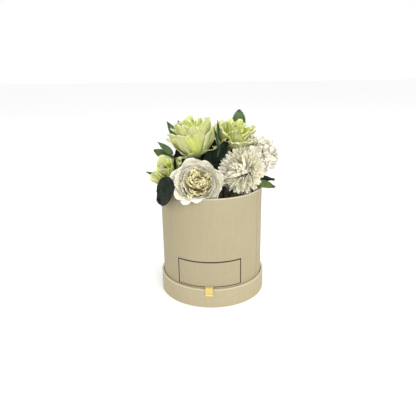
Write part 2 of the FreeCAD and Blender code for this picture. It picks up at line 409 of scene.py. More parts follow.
class Effects:
    """The node groups that finishes share, each built once."""

    _made: dict[str, bpy.types.NodeTree] = {}

    @classmethod
    def get(cls, name: str) -> bpy.types.NodeTree:
        """Builds the named effect the first time that it is asked for."""
        if name not in cls._made:
            cls._made[name] = getattr(cls, "_" + name)()
        return cls._made[name]

    @staticmethod
    def _round_the_tube() -> bpy.types.NodeTree:
        """Object coordinates as arc length round the axis, height and distance from the axis."""
        wires, takes, gives = new_group(
            "round_the_tube", {"Position": "Vector", "Radius": "Float"}, {"Vector": "Vector"}
        )
        parts = wires.parts(takes.outputs["Position"])
        angle = wires.math("ARCTAN2", parts[0], wires.times(parts[1], -1.0))
        squares = wires.plus(wires.math("POWER", parts[0], 2.0), wires.math("POWER", parts[1], 2.0))
        reach = wires.math("SQRT", squares)
        whole = wires.node("ShaderNodeCombineXYZ")
        wires.feed(whole.inputs[0], wires.times(angle, takes.outputs["Radius"]))
        wires.feed(whole.inputs[1], parts[2])
        wires.feed(whole.inputs[2], reach)
        wires.feed(gives.inputs[0], whole.outputs[0])
        return wires.tree

    @staticmethod
    def _linen() -> bpy.types.NodeTree:
        """Embossed linen: two sets of threads of uneven thickness, as a height and a shade."""
        wires, takes, gives = new_group(
            "linen", {"Vector": "Vector", "Pitch": "Float"}, {"Height": "Float", "Shade": "Float"}
        )
        parts = wires.parts(takes.outputs["Vector"])
        per_metre = wires.math("DIVIDE", math.tau, takes.outputs["Pitch"])
        threads = []
        for along, across in ((0, 1), (1, 0)):
            wander = wires.noise(takes.outputs["Vector"], 160.0 + 40.0 * along, 1.0)
            phase = wires.times(parts[across], per_metre)
            phase = wires.plus(phase, wires.times(wander, 5.0))
            threads.append(wires.sine(phase))
        stretch = [
            wires.noise(wires.scaled(takes.outputs["Vector"], s), 1.0, 2.0) for s in (
                (900.0, 30.0, 30.0), (45.0, 1200.0, 45.0)
            )
        ]
        slubs = wires.plus(stretch[0], stretch[1])
        relief = wires.times(wires.plus(threads[0], threads[1]), 0.25)
        wires.feed(gives.inputs["Height"], wires.plus(relief, slubs))
        wires.feed(gives.inputs["Shade"], wires.ramp(slubs, 0.75, 1.25))
        return wires.tree

    @staticmethod
    def _fibres() -> bpy.types.NodeTree:
        """Pulp fibres and flecks, as on uncoated board."""
        wires, takes, gives = new_group(
            "fibres", {"Position": "Vector"}, {"Height": "Float", "Fleck": "Float"}
        )
        coarse = wires.noise(wires.scaled(takes.outputs[0], (1.0, 1.0, 3.0)), 320.0, 4.0, 0.65)
        fine = wires.noise(takes.outputs[0], 1800.0, 2.0)
        wires.feed(gives.inputs["Height"], wires.plus(coarse, wires.times(fine, 0.4)))
        wires.feed(gives.inputs["Fleck"], wires.ramp(fine, 0.58, 0.72))
        return wires.tree

    @staticmethod
    def _cloth_petal() -> bpy.types.NodeTree:
        """A pressed cloth petal on its own UV map: fanned veins, crumple, rim and foot."""
        wires, takes, gives = new_group(
            "cloth_petal",
            {"UV": "Vector", "Position": "Vector", "Veins": "Float"},
            {"Height": "Float", "Vein": "Float", "Rim": "Float", "Foot": "Float", "Mottle": "Float"},
        )
        parts = wires.parts(takes.outputs["UV"])
        across = wires.minus(parts[0], 0.5)
        wander = wires.noise(takes.outputs["Position"], 110.0, 2.0)
        fan = wires.plus(wires.times(across, takes.outputs["Veins"]), wires.times(wander, 4.0))
        vein = wires.math("POWER", wires.size_of(wires.sine(fan)), 3.0)
        crumple = wires.noise(takes.outputs["Position"], 420.0, 3.0, 0.6)
        side = wires.ramp(wires.size_of(across), 0.40, 0.5)
        tip = wires.ramp(parts[1], 0.88, 1.0)
        wires.feed(gives.inputs["Height"], wires.plus(wires.times(vein, 0.5), crumple))
        wires.feed(gives.inputs["Vein"], vein)
        wires.feed(gives.inputs["Rim"], wires.larger(side, tip))
        wires.feed(gives.inputs["Foot"], wires.ramp(parts[1], 0.55, 0.0))
        wires.feed(gives.inputs["Mottle"], wires.noise(takes.outputs["Position"], 60.0, 2.0))
        return wires.tree

    @staticmethod
    def _leaf_veins() -> bpy.types.NodeTree:
        """A leaf on its own UV map: midrib, slanting side veins and the blistered skin between."""
        wires, takes, gives = new_group(
            "leaf_veins", {"UV": "Vector", "Position": "Vector", "Pairs": "Float"}, {
                "Height": "Float", "Vein": "Float"
            }
        )
        parts = wires.parts(takes.outputs["UV"])
        across = wires.size_of(wires.minus(parts[0], 0.5))
        midrib = wires.ramp(across, 0.035, 0.0)
        slant = wires.minus(parts[1], wires.times(across, 0.55))
        wave = wires.size_of(wires.sine(wires.times(slant, takes.outputs["Pairs"])))
        side = wires.ramp(wave, 0.14, 0.0)
        skin = wires.noise(takes.outputs["Position"], 700.0, 2.0)
        vein = wires.larger(midrib, wires.times(side, 0.7))
        wires.feed(gives.inputs["Vein"], vein)
        wires.feed(gives.inputs["Height"], wires.minus(wires.times(skin, 0.35), vein))
        return wires.tree


# ---------------------------------------------------------------------------------------------
# Finishes
# ---------------------------------------------------------------------------------------------


@dataclass(frozen=True)
class Finish:
    """What every finish has: a name, a colour and how matt it is."""

    name: str
    colour: Colour
    roughness: float = 0.8

    def material(self) -> bpy.types.Material:
        """The material, made the first time that it is asked for."""
        found = bpy.data.materials.get(self.name)
        if found is None:
            found = bpy.data.materials.new(self.name)
            found.use_nodes = True
            wires = Wiring(found.node_tree)
            shader = found.node_tree.nodes["Principled BSDF"]
            self.wire(wires, shader)
        return found

    def wire(self, wires: Wiring, shader: bpy.types.Node) -> None:
        """Wires the shader; each finish has its own."""
        raise NotImplementedError

    def surface(
        self, wires: Wiring, shader: bpy.types.Node, colour: Fed, roughness: Fed, height: Fed,
        strength: float, distance: float
    ) -> None:
        """Feeds the colour and roughness, and a height through a Bump node to the shader's normal."""
        wires.feed(shader.inputs["Base Color"], colour)
        wires.feed(shader.inputs["Roughness"], roughness)
        bump = wires.node("ShaderNodeBump")
        bump.inputs["Strength"].default_value = strength
        bump.inputs["Distance"].default_value = distance
        wires.feed(bump.inputs["Height"], height)
        wires.feed(shader.inputs["Normal"], bump.outputs[0])

    def dress(self, *objects: Shape) -> None:
        """Gives the material to objects."""
        for obj in objects:
            obj.data.materials.clear()
            obj.data.materials.append(self.material())


@dataclass(frozen=True)
class LinenPaper(Finish):
    """Covering paper embossed like linen, with a painted highlight along its top edges and a painted shadow
    round the drawer's opening.
    """

    shade: Colour = (0.5, 0.45, 0.35)
    # Colour of the painted highlight along the tube's mouth and the lid's top edge.
    edge: Colour = (0.9, 0.87, 0.78)
    radius: float = 0.085
    pitch: float = 0.0009
    # Heights of that painted highlight, and the distances over which it stays full and fades out.
    lip_highlights: tuple[float, ...] = ()
    lip_highlight_near: float = 0.0004
    lip_highlight_far: float = 0.0016
    # The painted shadow round the drawer's opening: its colour, how far it stays full, how far it fades out,
    # and how much wider it is above.
    cut: Colour = (0.035, 0.028, 0.02)
    gap_shadow_near: float = 0.0005
    gap_shadow_far: float = 0.0007
    gap_shadow_top_share: float = 0.6
    opening: tuple[float, float, float] | None = None

    def wire(self, wires: Wiring, shader: bpy.types.Node) -> None:
        """Threads wound round the tube, a painted highlight at each given lip height and a painted shadow
        round the opening.
        """
        place = wires.place()
        wound = wires.group(Effects.get("round_the_tube"), Position=place, Radius=self.radius).outputs[0]
        linen = wires.group(Effects.get("linen"), Vector=wound, Pitch=self.pitch)
        blotch = wires.ramp(wires.noise(place, 14.0, 2.0), 0.3, 0.7)
        colour = wires.mix(wires.times(linen.outputs["Shade"], 0.5), self.colour, self.shade)
        colour = wires.mix(wires.times(blotch, 0.25), colour, self.shade)
        parts = wires.parts(place)
        # Painted highlight: a paler band round each given lip height.
        for lip in self.lip_highlights:
            away = wires.size_of(wires.minus(parts[2], lip))
            colour = wires.mix(wires.ramp(away, self.lip_highlight_far, self.lip_highlight_near, 0.0, 0.9), colour, self.edge)
        # Painted shadow: a dark band beside and above the drawer's opening, on the front only, for the shade
        # in the gap.
        if self.opening:
            half, low, top = self.opening
            beside = wires.minus(wires.size_of(parts[0]), half)
            above = wires.times(wires.minus(parts[2], top), self.gap_shadow_top_share)
            near = wires.size_of(wires.larger(beside, above))
            front = wires.math("LESS_THAN", parts[1], 0.0)
            front = wires.times(front, wires.math("GREATER_THAN", parts[2], low))
            colour = wires.mix(
                wires.times(
                    wires.ramp(near, self.gap_shadow_far, self.gap_shadow_near, 0.0, 0.92), front
                ), colour, self.cut
            )
        roughness = wires.ramp(linen.outputs["Shade"], 0.0, 1.0, self.roughness - 0.1, self.roughness)
        self.surface(wires, shader, colour, roughness, linen.outputs["Height"], 0.35, 0.0003)


@dataclass(frozen=True)
class Greyboard(Finish):
    """Uncoated board."""

    fleck: Colour = (0.25, 0.22, 0.18)

    def wire(self, wires: Wiring, shader: bpy.types.Node) -> None:
        """Flecks and fibres on object coordinates."""
        place = wires.place()
        fibres = wires.group(Effects.get("fibres"), Position=place)
        tint = wires.mix(wires.times(fibres.outputs["Height"], 0.35), self.colour, self.fleck)
        roughness = wires.ramp(fibres.outputs["Height"], 0.2, 1.0, 0.8, 0.95)
        self.surface(
            wires,
            shader,
            wires.mix(wires.times(fibres.outputs["Fleck"], 0.5), tint, self.fleck),
            roughness,
            fibres.outputs["Height"],
            0.4,
            0.0003,
        )


@dataclass(frozen=True)
class DryFoam(Finish):
    """Dry floral foam: crushed cells and crumbs."""

    pit: Colour = (0.03, 0.035, 0.02)

    def wire(self, wires: Wiring, shader: bpy.types.Node) -> None:
        """Cells from a fine Voronoi pattern over a coarse crumble."""
        place = wires.place()
        cells = wires.node("ShaderNodeTexVoronoi", feature="F1")
        wires.feed(cells.inputs["Vector"], place)
        cells.inputs["Scale"].default_value = 900.0
        crumble = wires.noise(place, 120.0, 5.0, 0.7)
        dark = wires.ramp(crumble, 0.35, 0.65)
        roughness = wires.ramp(crumble, 0.2, 0.8, 0.85, 1.0)
        self.surface(
            wires,
            shader,
            wires.mix(dark, self.pit, self.colour),
            roughness,
            wires.plus(cells.outputs["Distance"], crumble),
            0.8,
            0.001,
        )


@dataclass(frozen=True)
class ClothPetal(Finish):
    """Pressed polyester petal: tinted from foot to rim, with a painted glow of light through its thin rims
    and tips, veined, a little translucent.
    """

    foot: Colour = (0.8, 0.8, 0.6)
    rim: Colour = (0.95, 0.95, 0.92)
    deep: Colour = (0.75, 0.73, 0.65)
    veins: float = 34.0
    vein_share: float = 0.25
    glow: float = 0.15
    tone_share: float = 0.6
    mottle_share: float = 0.4
    rim_glow_share: float = 0.8

    def wire(self, wires: Wiring, shader: bpy.types.Node) -> None:
        """Foot, rim, veins and mottle from the petal's UV map, and each petal's own tone."""
        coordinates = wires.node("ShaderNodeTexCoord")
        petal = wires.group(
            Effects.get("cloth_petal"), UV=coordinates.outputs["UV"],
            Position=coordinates.outputs["Object"], Veins=self.veins
        )
        tone = wires.node("ShaderNodeAttribute", attribute_name="tone").outputs["Fac"]
        colour = wires.mix(wires.times(tone, self.tone_share), self.colour, self.deep)
        colour = wires.mix(
            wires.times(wires.ramp(petal.outputs["Mottle"], 0.35, 0.7), self.mottle_share), colour, self.deep
        )
        colour = wires.mix(petal.outputs["Foot"], colour, self.foot)
        # Painted glow: each petal's sides and tip are mixed towards the paler rim colour, for light shining
        # through the thin cloth.
        colour = wires.mix(wires.times(petal.outputs["Rim"], self.rim_glow_share), colour, self.rim)
        colour = wires.mix(wires.times(petal.outputs["Vein"], self.vein_share), colour, self.foot)
        roughness = wires.ramp(petal.outputs["Height"], 0.3, 1.2, self.roughness - 0.12, self.roughness)
        self.surface(wires, shader, colour, roughness, petal.outputs["Height"], 0.6, 0.0012)
        shader.inputs["Subsurface Weight"].default_value = self.glow
        shader.inputs["Subsurface Radius"].default_value = (1.0, 1.0, 0.6)
        shader.inputs["Subsurface Scale"].default_value = 0.0003
        shader.inputs["Sheen Weight"].default_value = 0.08
        shader.inputs["Specular IOR Level"].default_value = 0.25


@dataclass(frozen=True)
class ClothLeaf(Finish):
    """Printed cloth leaf with paler veins."""

    vein: Colour = (0.3, 0.4, 0.2)
    shade: Colour = (0.02, 0.05, 0.02)
    pairs: float = 24.0

    def wire(self, wires: Wiring, shader: bpy.types.Node) -> None:
        """Veins from the leaf's UV map over a mottled green."""
        coordinates = wires.node("ShaderNodeTexCoord")
        leaf = wires.group(
            Effects.get("leaf_veins"), UV=coordinates.outputs["UV"],
            Position=coordinates.outputs["Object"], Pairs=self.pairs
        )
        mottle = wires.ramp(wires.noise(coordinates.outputs["Object"], 90.0, 3.0), 0.3, 0.7)
        colour = wires.mix(mottle, self.shade, self.colour)
        colour = wires.mix(wires.times(leaf.outputs["Vein"], 0.6), colour, self.vein)
        roughness = wires.ramp(mottle, 0.0, 1.0, self.roughness, self.roughness - 0.15)
        self.surface(wires, shader, colour, roughness, leaf.outputs["Height"], 0.6, 0.0006)
        shader.inputs["Specular IOR Level"].default_value = 0.2


@dataclass(frozen=True)
class StemPlastic(Finish):
    """Moulded green plastic with fine ridges."""

    tip: Colour = (0.35, 0.45, 0.2)

    def wire(self, wires: Wiring, shader: bpy.types.Node) -> None:
        """Ridges and a dusty mottle on object coordinates."""
        place = wires.place()
        ridges = wires.noise(wires.scaled(place, (1.0, 1.0, 0.05)), 1500.0, 2.0)
        mottle = wires.ramp(wires.noise(place, 90.0, 3.0), 0.35, 0.7)
        roughness = wires.ramp(ridges, 0.3, 0.7, self.roughness - 0.15, self.roughness)
        self.surface(wires, shader, wires.mix(mottle, self.colour, self.tip), roughness, ridges, 0.4, 0.0003)


@dataclass(frozen=True)
class SatinRibbon(Finish):
    """Woven satin ribbon with a firmer edge."""

    shade: Colour = (0.55, 0.36, 0.05)
    # Colour of the painted highlight on the fold at the ribbon's hem.
    hem: Colour = (0.70, 0.62, 0.29)

    def wire(self, wires: Wiring, shader: bpy.types.Node) -> None:
        """Fine cross threads on the ribbon's UV map."""
        coordinates = wires.node("ShaderNodeTexCoord")
        parts = wires.parts(coordinates.outputs["UV"])
        threads = wires.sine(wires.times(parts[1], 900.0))
        edge = wires.ramp(wires.size_of(wires.minus(parts[0], 0.5)), 0.43, 0.47)
        streak = wires.noise(wires.scaled(coordinates.outputs["UV"], (40.0, 1.5, 1.0)), 1.0, 2.0)
        colour = wires.mix(wires.ramp(streak, 0.35, 0.7, 0.0, 0.5), self.colour, self.shade)
        colour = wires.mix(wires.times(edge, 0.5), colour, self.shade)
        # Painted highlight: the folded hem at the end of the strip is paler.
        colour = wires.mix(wires.ramp(parts[1], 0.88, 0.91, 0.0, 0.85), colour, self.hem)
        roughness = wires.ramp(streak, 0.2, 0.8, self.roughness - 0.08, self.roughness + 0.08)
        self.surface(
            wires, shader, colour, roughness, wires.plus(threads, wires.times(edge, 3.0)), 0.25, 0.0001
        )
        shader.inputs["Sheen Weight"].default_value = 0.1
        shader.inputs["Specular IOR Level"].default_value = 0.3


# ---------------------------------------------------------------------------------------------
# Petals
# ---------------------------------------------------------------------------------------------


def petal_row_height(petal: Shape, index: int) -> Vector:
    """Where a vertex of the object in edit mode is."""
    mesh = bmesh.from_edit_mesh(petal.data)
    mesh.verts.ensure_lookup_table()
    return mesh.verts[index].co.copy()


@dataclass(frozen=True)
class PetalCut:
    """The flat cut of a petal and how it is pressed. Lengths in millimetres, angles in degrees."""

    length: float
    width: float
    widest: float = 0.65
    foot: float = 0.25
    notch: float = 0.0
    curl: float = 60.0
    cup: float = 50.0
    roll: float = 0.0
    rolled: float = 0.35
    pleat: float = 0.0
    corner: float = 0.22
    ruffle: float = 0.0
    ruffle_size: float = 11.0
    columns: int = 8
    rows: int = 9
    thickness: float = 0.35
    smooth: int = 1

    def half_width(self, share: float) -> float:
        """Half the width at a share of the length, against the widest."""
        if share < self.widest:
            rise = math.sin(share / self.widest * math.pi / 2)
            return self.foot + (1 - self.foot) * rise
        fall = (share - self.widest) / (1 - self.widest)
        return math.sqrt(max(1 - fall**2 * 0.75, 0.0))

    def build(self, name: str, seed: int) -> Shape:
        """Cuts and presses one petal that stands on its foot at the origin, inner side to +Y.

        Args:
            name: the template's name.
            seed: picks this petal's own ruffles.

        Returns:
            The template.
        """
        petal = standing_sheet(name, self.columns, self.rows)
        self._cut_outline(petal)
        bpy.ops.mesh.select_all(action="SELECT")
        size = (self.width * MM, self.length * MM, self.length * MM)
        bpy.ops.transform.resize(value=size, center_override=(0, 0, 0))
        bpy.ops.object.mode_set(mode="OBJECT")
        self._press(petal, seed)
        return petal

    def _cut_outline(self, petal: Shape) -> None:
        """Narrows each row of the grid to the outline, and rounds or notches the tip."""
        across = self.columns + 1
        for row in range(self.rows + 1):
            share = row / self.rows
            select_vertices(petal, lambda v, row=row: v.index // across == row)
            width = self.half_width(share)
            bpy.ops.transform.resize(value=(width, 1, 1), center_override=(0, 0, share))
        for column in range(across):
            side = abs(2 * column / self.columns - 1)
            drop = 1 - self.corner * side**2.5 - self.notch * max(0.0, 1 - side * 3)
            select_vertices(petal, lambda v, column=column: v.index % across == column)
            bpy.ops.transform.resize(value=(1, 1, drop), center_override=(0, 0, 0))
            if self.pleat and 0 < column < self.columns:
                fold = math.radians(self.pleat if column % 2 else -self.pleat)
                bpy.ops.transform.rotate(value=fold, orient_axis="X", center_override=(0, 0, 0))

    def _roll_tip(self, petal: Shape) -> None:
        """Turns the rows near the tip outwards, one after another."""
        across = self.columns + 1
        first = round(self.rows * (1 - self.rolled))
        turned = self.rows - first
        if not self.roll:
            return
        only(petal)
        bpy.ops.object.mode_set(mode="EDIT")
        for row in range(first, self.rows):
            height = petal_row_height(petal, row * across + self.columns // 2)
            select_vertices(petal, lambda v, row=row: v.index // across > row)
            bpy.ops.transform.rotate(
                value=math.radians(-self.roll / turned), orient_axis="X", center_override=height
            )
        bpy.ops.object.mode_set(mode="OBJECT")

    def _press(self, petal: Shape, seed: int) -> None:
        """Presses the flat cut: ruffles, rolled tip, cup, curl, thickness."""
        rim = petal.vertex_groups.new(name="rim")
        for vertex in petal.data.vertices:
            up = vertex.co.z / (self.length * MM)
            side = abs(vertex.co.x) / (self.width * MM / 2)
            rim.add(
                [vertex.index],
                min(1.0, 0.9 * max(up, 0.0) ** 2 + 0.5 * side**2 * max(up, 0.0)),
                "REPLACE",
            )
        if self.ruffle:
            ruffled(petal, self.ruffle_size * MM, self.ruffle * MM * 4, RUFFLE_STEP * (seed + 1), 1, "rim")
        self._roll_tip(petal)
        for label, axis, angle in (("cup", "Z", self.cup), ("curl", "X", self.curl)):
            if angle:
                bent(petal, label, axis, angle)
        thickened(petal, self.thickness * MM, self.smooth)
        shade(petal, 80.0)


@dataclass(frozen=True)
class Whorl:
    """One ring of petals. Places in millimetres on the bloom's axis, angles in degrees."""

    count: int
    reach: float
    height: float
    lean: float
    scale: float = 1.0
    turn: float = 0.0
    loose: float = 4.0
    tone: float = 0.4


def arranged(templates: Sequence[Shape], whorls: Iterable[Whorl], chance: random.Random) -> list[Shape]:
    """Copies petals round a bloom's axis.

    Args:
        templates: petals to choose from, in turn.
        whorls: the rings.
        chance: the source of every small irregularity.

    Returns:
        The copies, round the origin with the bloom facing +Z.
    """
    copies = []
    for whorl in whorls:
        for step in range(whorl.count):
            angle = whorl.turn + 360 * step / whorl.count + chance.uniform(-1, 1) * whorl.loose * 2
            lean = whorl.lean + chance.uniform(-1, 1) * whorl.loose
            size = whorl.scale * chance.uniform(0.94, 1.06)
            place = (
                Matrix.Rotation(math.radians(angle), 4, "Z")
                @ Matrix.Translation((0, -whorl.reach * MM, whorl.height * MM))
                @ Euler(
                    (math.radians(lean), math.radians(chance.uniform(-1, 1) * whorl.loose), 0)
                ).to_matrix().to_4x4()
                @ Matrix.Scale(size, 4)
            )
            tone = min(1.0, max(0.0, whorl.tone + chance.uniform(-0.3, 0.3)))
            copies.append(copy_at(templates[len(copies) % len(templates)], place, tone))
    return copies


def stalk(name: str, points: Sequence[Vector], thickness: float) -> Shape:
    """A wire stem bent smoothly through its points and capped at both ends.

    Args:
        name: its name.
        points: three places, from the foot to the tip.
        thickness: its radius, in metres.

    Returns:
        The stem, as a mesh.
    """
    bpy.ops.object.select_all(action="DESELECT")
    bpy.ops.curve.primitive_nurbs_path_add()
    path = bpy.context.object
    foot, knee, tip = points
    line = path.data.splines[0]
    route = (foot, foot.lerp(knee, 0.6), knee, knee.lerp(tip, 0.5), tip)
    for point, place in zip(line.points, route):
        point.co = (*place, 1.0)
    path.data.resolution_u = 5
    path.data.bevel_depth = thickness
    path.data.bevel_resolution = 2
    path.data.use_fill_caps = True
    bpy.ops.object.convert(target="MESH")
    stem = bpy.context.object
    stem.name = name
    bpy.ops.object.mode_set(mode="EDIT")
    bpy.ops.mesh.select_all(action="SELECT")
    bpy.ops.mesh.remove_doubles(threshold=thickness / 100)
    bpy.ops.mesh.normals_make_consistent(inside=False)
    bpy.ops.object.mode_set(mode="OBJECT")
    shade(stem, 50.0)
    return stem


class Outline(Enum):
    """The outlines that leaves are cut to."""

    ROUND = "round"
    POINTED = "pointed"
    BLADE = "blade"

    def half_width(self, share: float) -> float:
        """Half the width at a share of the length, against the widest."""
        if self is Outline.ROUND:
            return math.sin(math.pi * min(1.0, share * 0.96 + 0.04) ** 0.9) ** 0.62
        if self is Outline.POINTED:
            return math.sin(math.pi * share**0.75) ** 0.9
        return math.sin(math.pi * share**0.85) ** 1.15


@dataclass(frozen=True)
class LeafCut:
    """How a leaf is cut and pressed; its length and width are 1 until it is placed."""

    outline: Outline = Outline.POINTED
    teeth: int = 9
    bite: float = 0.16
    crease: float = 0.10
    curl: float = 30.0
    ripple: float = 0.03
    thickness: float = 0.014

    def build(self, name: str, seed: int) -> Shape:
        """Cuts one leaf with its foot at the origin, its tip at +Z and its upper side to +Y.

        Args:
            name: its name.
            seed: picks its own ripples.

        Returns:
            The leaf.
        """
        columns, rows = 6, 2 * self.teeth + 1
        across = columns + 1
        leaf = standing_sheet(name, columns, rows)
        for row in range(rows + 1):
            share = row / rows
            width = max(self.outline.half_width(share), 0.02)
            select_vertices(leaf, lambda v, row=row: v.index // across == row)
            bpy.ops.transform.resize(value=(width, 1, 1), center_override=(0, 0, share))
            if row % 2 and 0 < row < rows:
                select_vertices(
                    leaf, lambda v, row=row: v.index // across == row and v.index % across in (0, columns)
                )
                bpy.ops.transform.resize(value=(1 - self.bite, 1, 1), center_override=(0, 0, share))
                bpy.ops.transform.translate(value=(0, 0, -0.4 / rows))
        select_vertices(leaf, lambda v: v.index % across == columns // 2)
        bpy.ops.transform.translate(value=(0, -self.crease / 2, 0))
        select_vertices(leaf, lambda v: v.index % across in (0, columns))
        bpy.ops.transform.translate(value=(0, self.crease / 2, 0))
        bpy.ops.object.mode_set(mode="OBJECT")
        ruffled(leaf, RIPPLE_SIZE, self.ripple * 4, RIPPLE_STEP * (seed + 1))
        bent(leaf, "curl", "X", -self.curl)
        thickened(leaf, self.thickness)
        half = math.radians(self.curl / 2)
        stretch = half / math.sin(half) if half else 1.0
        leaf.data.transform(Matrix.Scale(stretch, 4) @ Matrix.Rotation(-half, 4, "X"))
        shade(leaf, 70.0)
        return leaf


# ---------------------------------------------------------------------------------------------
# Sizes read from the frame
# ---------------------------------------------------------------------------------------------


@dataclass(frozen=True)
class BoxSizes:
    """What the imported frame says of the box, in metres."""

    radius: float
    mouth: float
    lid_top: float

    @classmethod
    def read(cls) -> "BoxSizes":
        """Reads the tube's and the lid's boxes."""
        wrap_low, wrap_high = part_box("tube_wrap")
        return cls(-wrap_low.y, wrap_high.z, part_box("lid_wrap")[1].z)

    def over_mouth(self, place: Place) -> Vector:
        """A place given as bearing in degrees, inset from the tube's side and rise over its mouth."""
        bearing, inset, rise = place
        turn, reach = math.radians(bearing), self.radius - inset * MM
        return Vector((reach * math.sin(turn), -reach * math.cos(turn), self.mouth + rise * MM))


def rest_on_rim(obj: Shape, sizes: BoxSizes) -> None:
    """Lays the petals of a low flower over the tube's rim, so that none of them cuts through it.

    Args:
        obj: the piece.
        sizes: the box's sizes.
    """
    clear, lift, inner_slope, outer_slope, give = 2.5 * MM, 6.0 * MM, 1.0, 1.6, 4.5 * MM
    for vertex in obj.data.vertices:
        reach = math.hypot(vertex.co.x, vertex.co.y)
        inside, outside = sizes.radius - clear - reach, reach - sizes.radius - clear
        rest = sizes.mouth + lift - max(0.0, inside) * inner_slope - max(0.0, outside) * outer_slope
        under = rest - vertex.co.z
        if under > 0:
            vertex.co.z = rest - give * (1 - math.exp(-under / give))


# ---------------------------------------------------------------------------------------------
# Flowers
# ---------------------------------------------------------------------------------------------


class Shades:
    """The finishes of flowers and leaves."""

    # Each petal finish's rim colour is the painted glow at its rims and tips.
    WHITE = ClothPetal(
        "cloth_rose", (0.77, 0.745, 0.62), 0.75, foot=(0.72, 0.64, 0.43), rim=(0.90, 0.885, 0.83),
        deep=(0.72, 0.68, 0.52)
    )
    HEART = ClothPetal(
        "cloth_heart", (0.78, 0.71, 0.38), 0.8, foot=(0.68, 0.58, 0.27), rim=(0.88, 0.84, 0.55),
        deep=(0.70, 0.61, 0.31),
        vein_share=0.1,
    )
    POMPON = ClothPetal(
        "cloth_pompon", (0.93, 0.90, 0.73), 0.75, foot=(0.92, 0.86, 0.62), rim=(0.95, 0.93, 0.82),
        deep=(0.91, 0.87, 0.68), veins=9.0, vein_share=0.1, glow=0.1,
    )
    BLUSH = ClothPetal(
        "cloth_blush", (0.90, 0.87, 0.78), 0.75, foot=(0.86, 0.82, 0.64), rim=(0.94, 0.92, 0.86),
        deep=(0.82, 0.78, 0.66)
    )
    GREEN = ClothPetal(
        "cloth_green", (0.59, 0.60, 0.24), 0.72, foot=(0.46, 0.56, 0.055), rim=(0.78, 0.785, 0.56),
        deep=(0.63, 0.64, 0.34), veins=26.0,
    )
    LIME = ClothPetal(
        "cloth_lime", (0.62, 0.67, 0.19), 0.72, foot=(0.54, 0.62, 0.05), rim=(0.80, 0.82, 0.50),
        deep=(0.60, 0.64, 0.24), veins=22.0,
    )
    SEPAL = ClothLeaf(
        "sepal_green", (0.10, 0.17, 0.04), 0.7, vein=(0.2, 0.3, 0.1), shade=(0.05, 0.10, 0.02), pairs=8.0
    )
    STEM = StemPlastic("stem_green", (0.05, 0.10, 0.03), 0.6, tip=(0.14, 0.22, 0.07))
    DARK_LEAF = ClothLeaf(
        "leaf_dark", (0.010, 0.019, 0.008), 0.75, vein=(0.022, 0.038, 0.018), shade=(0.005, 0.011, 0.004)
    )
    MID_LEAF = ClothLeaf(
        "leaf_mid", (0.125, 0.20, 0.09), 0.75, vein=(0.22, 0.31, 0.16), shade=(0.08, 0.14, 0.055)
    )
    OLIVE_LEAF = ClothLeaf(
        "leaf_olive", (0.12, 0.175, 0.05), 0.75, vein=(0.20, 0.27, 0.11), shade=(0.07, 0.115, 0.03)
    )


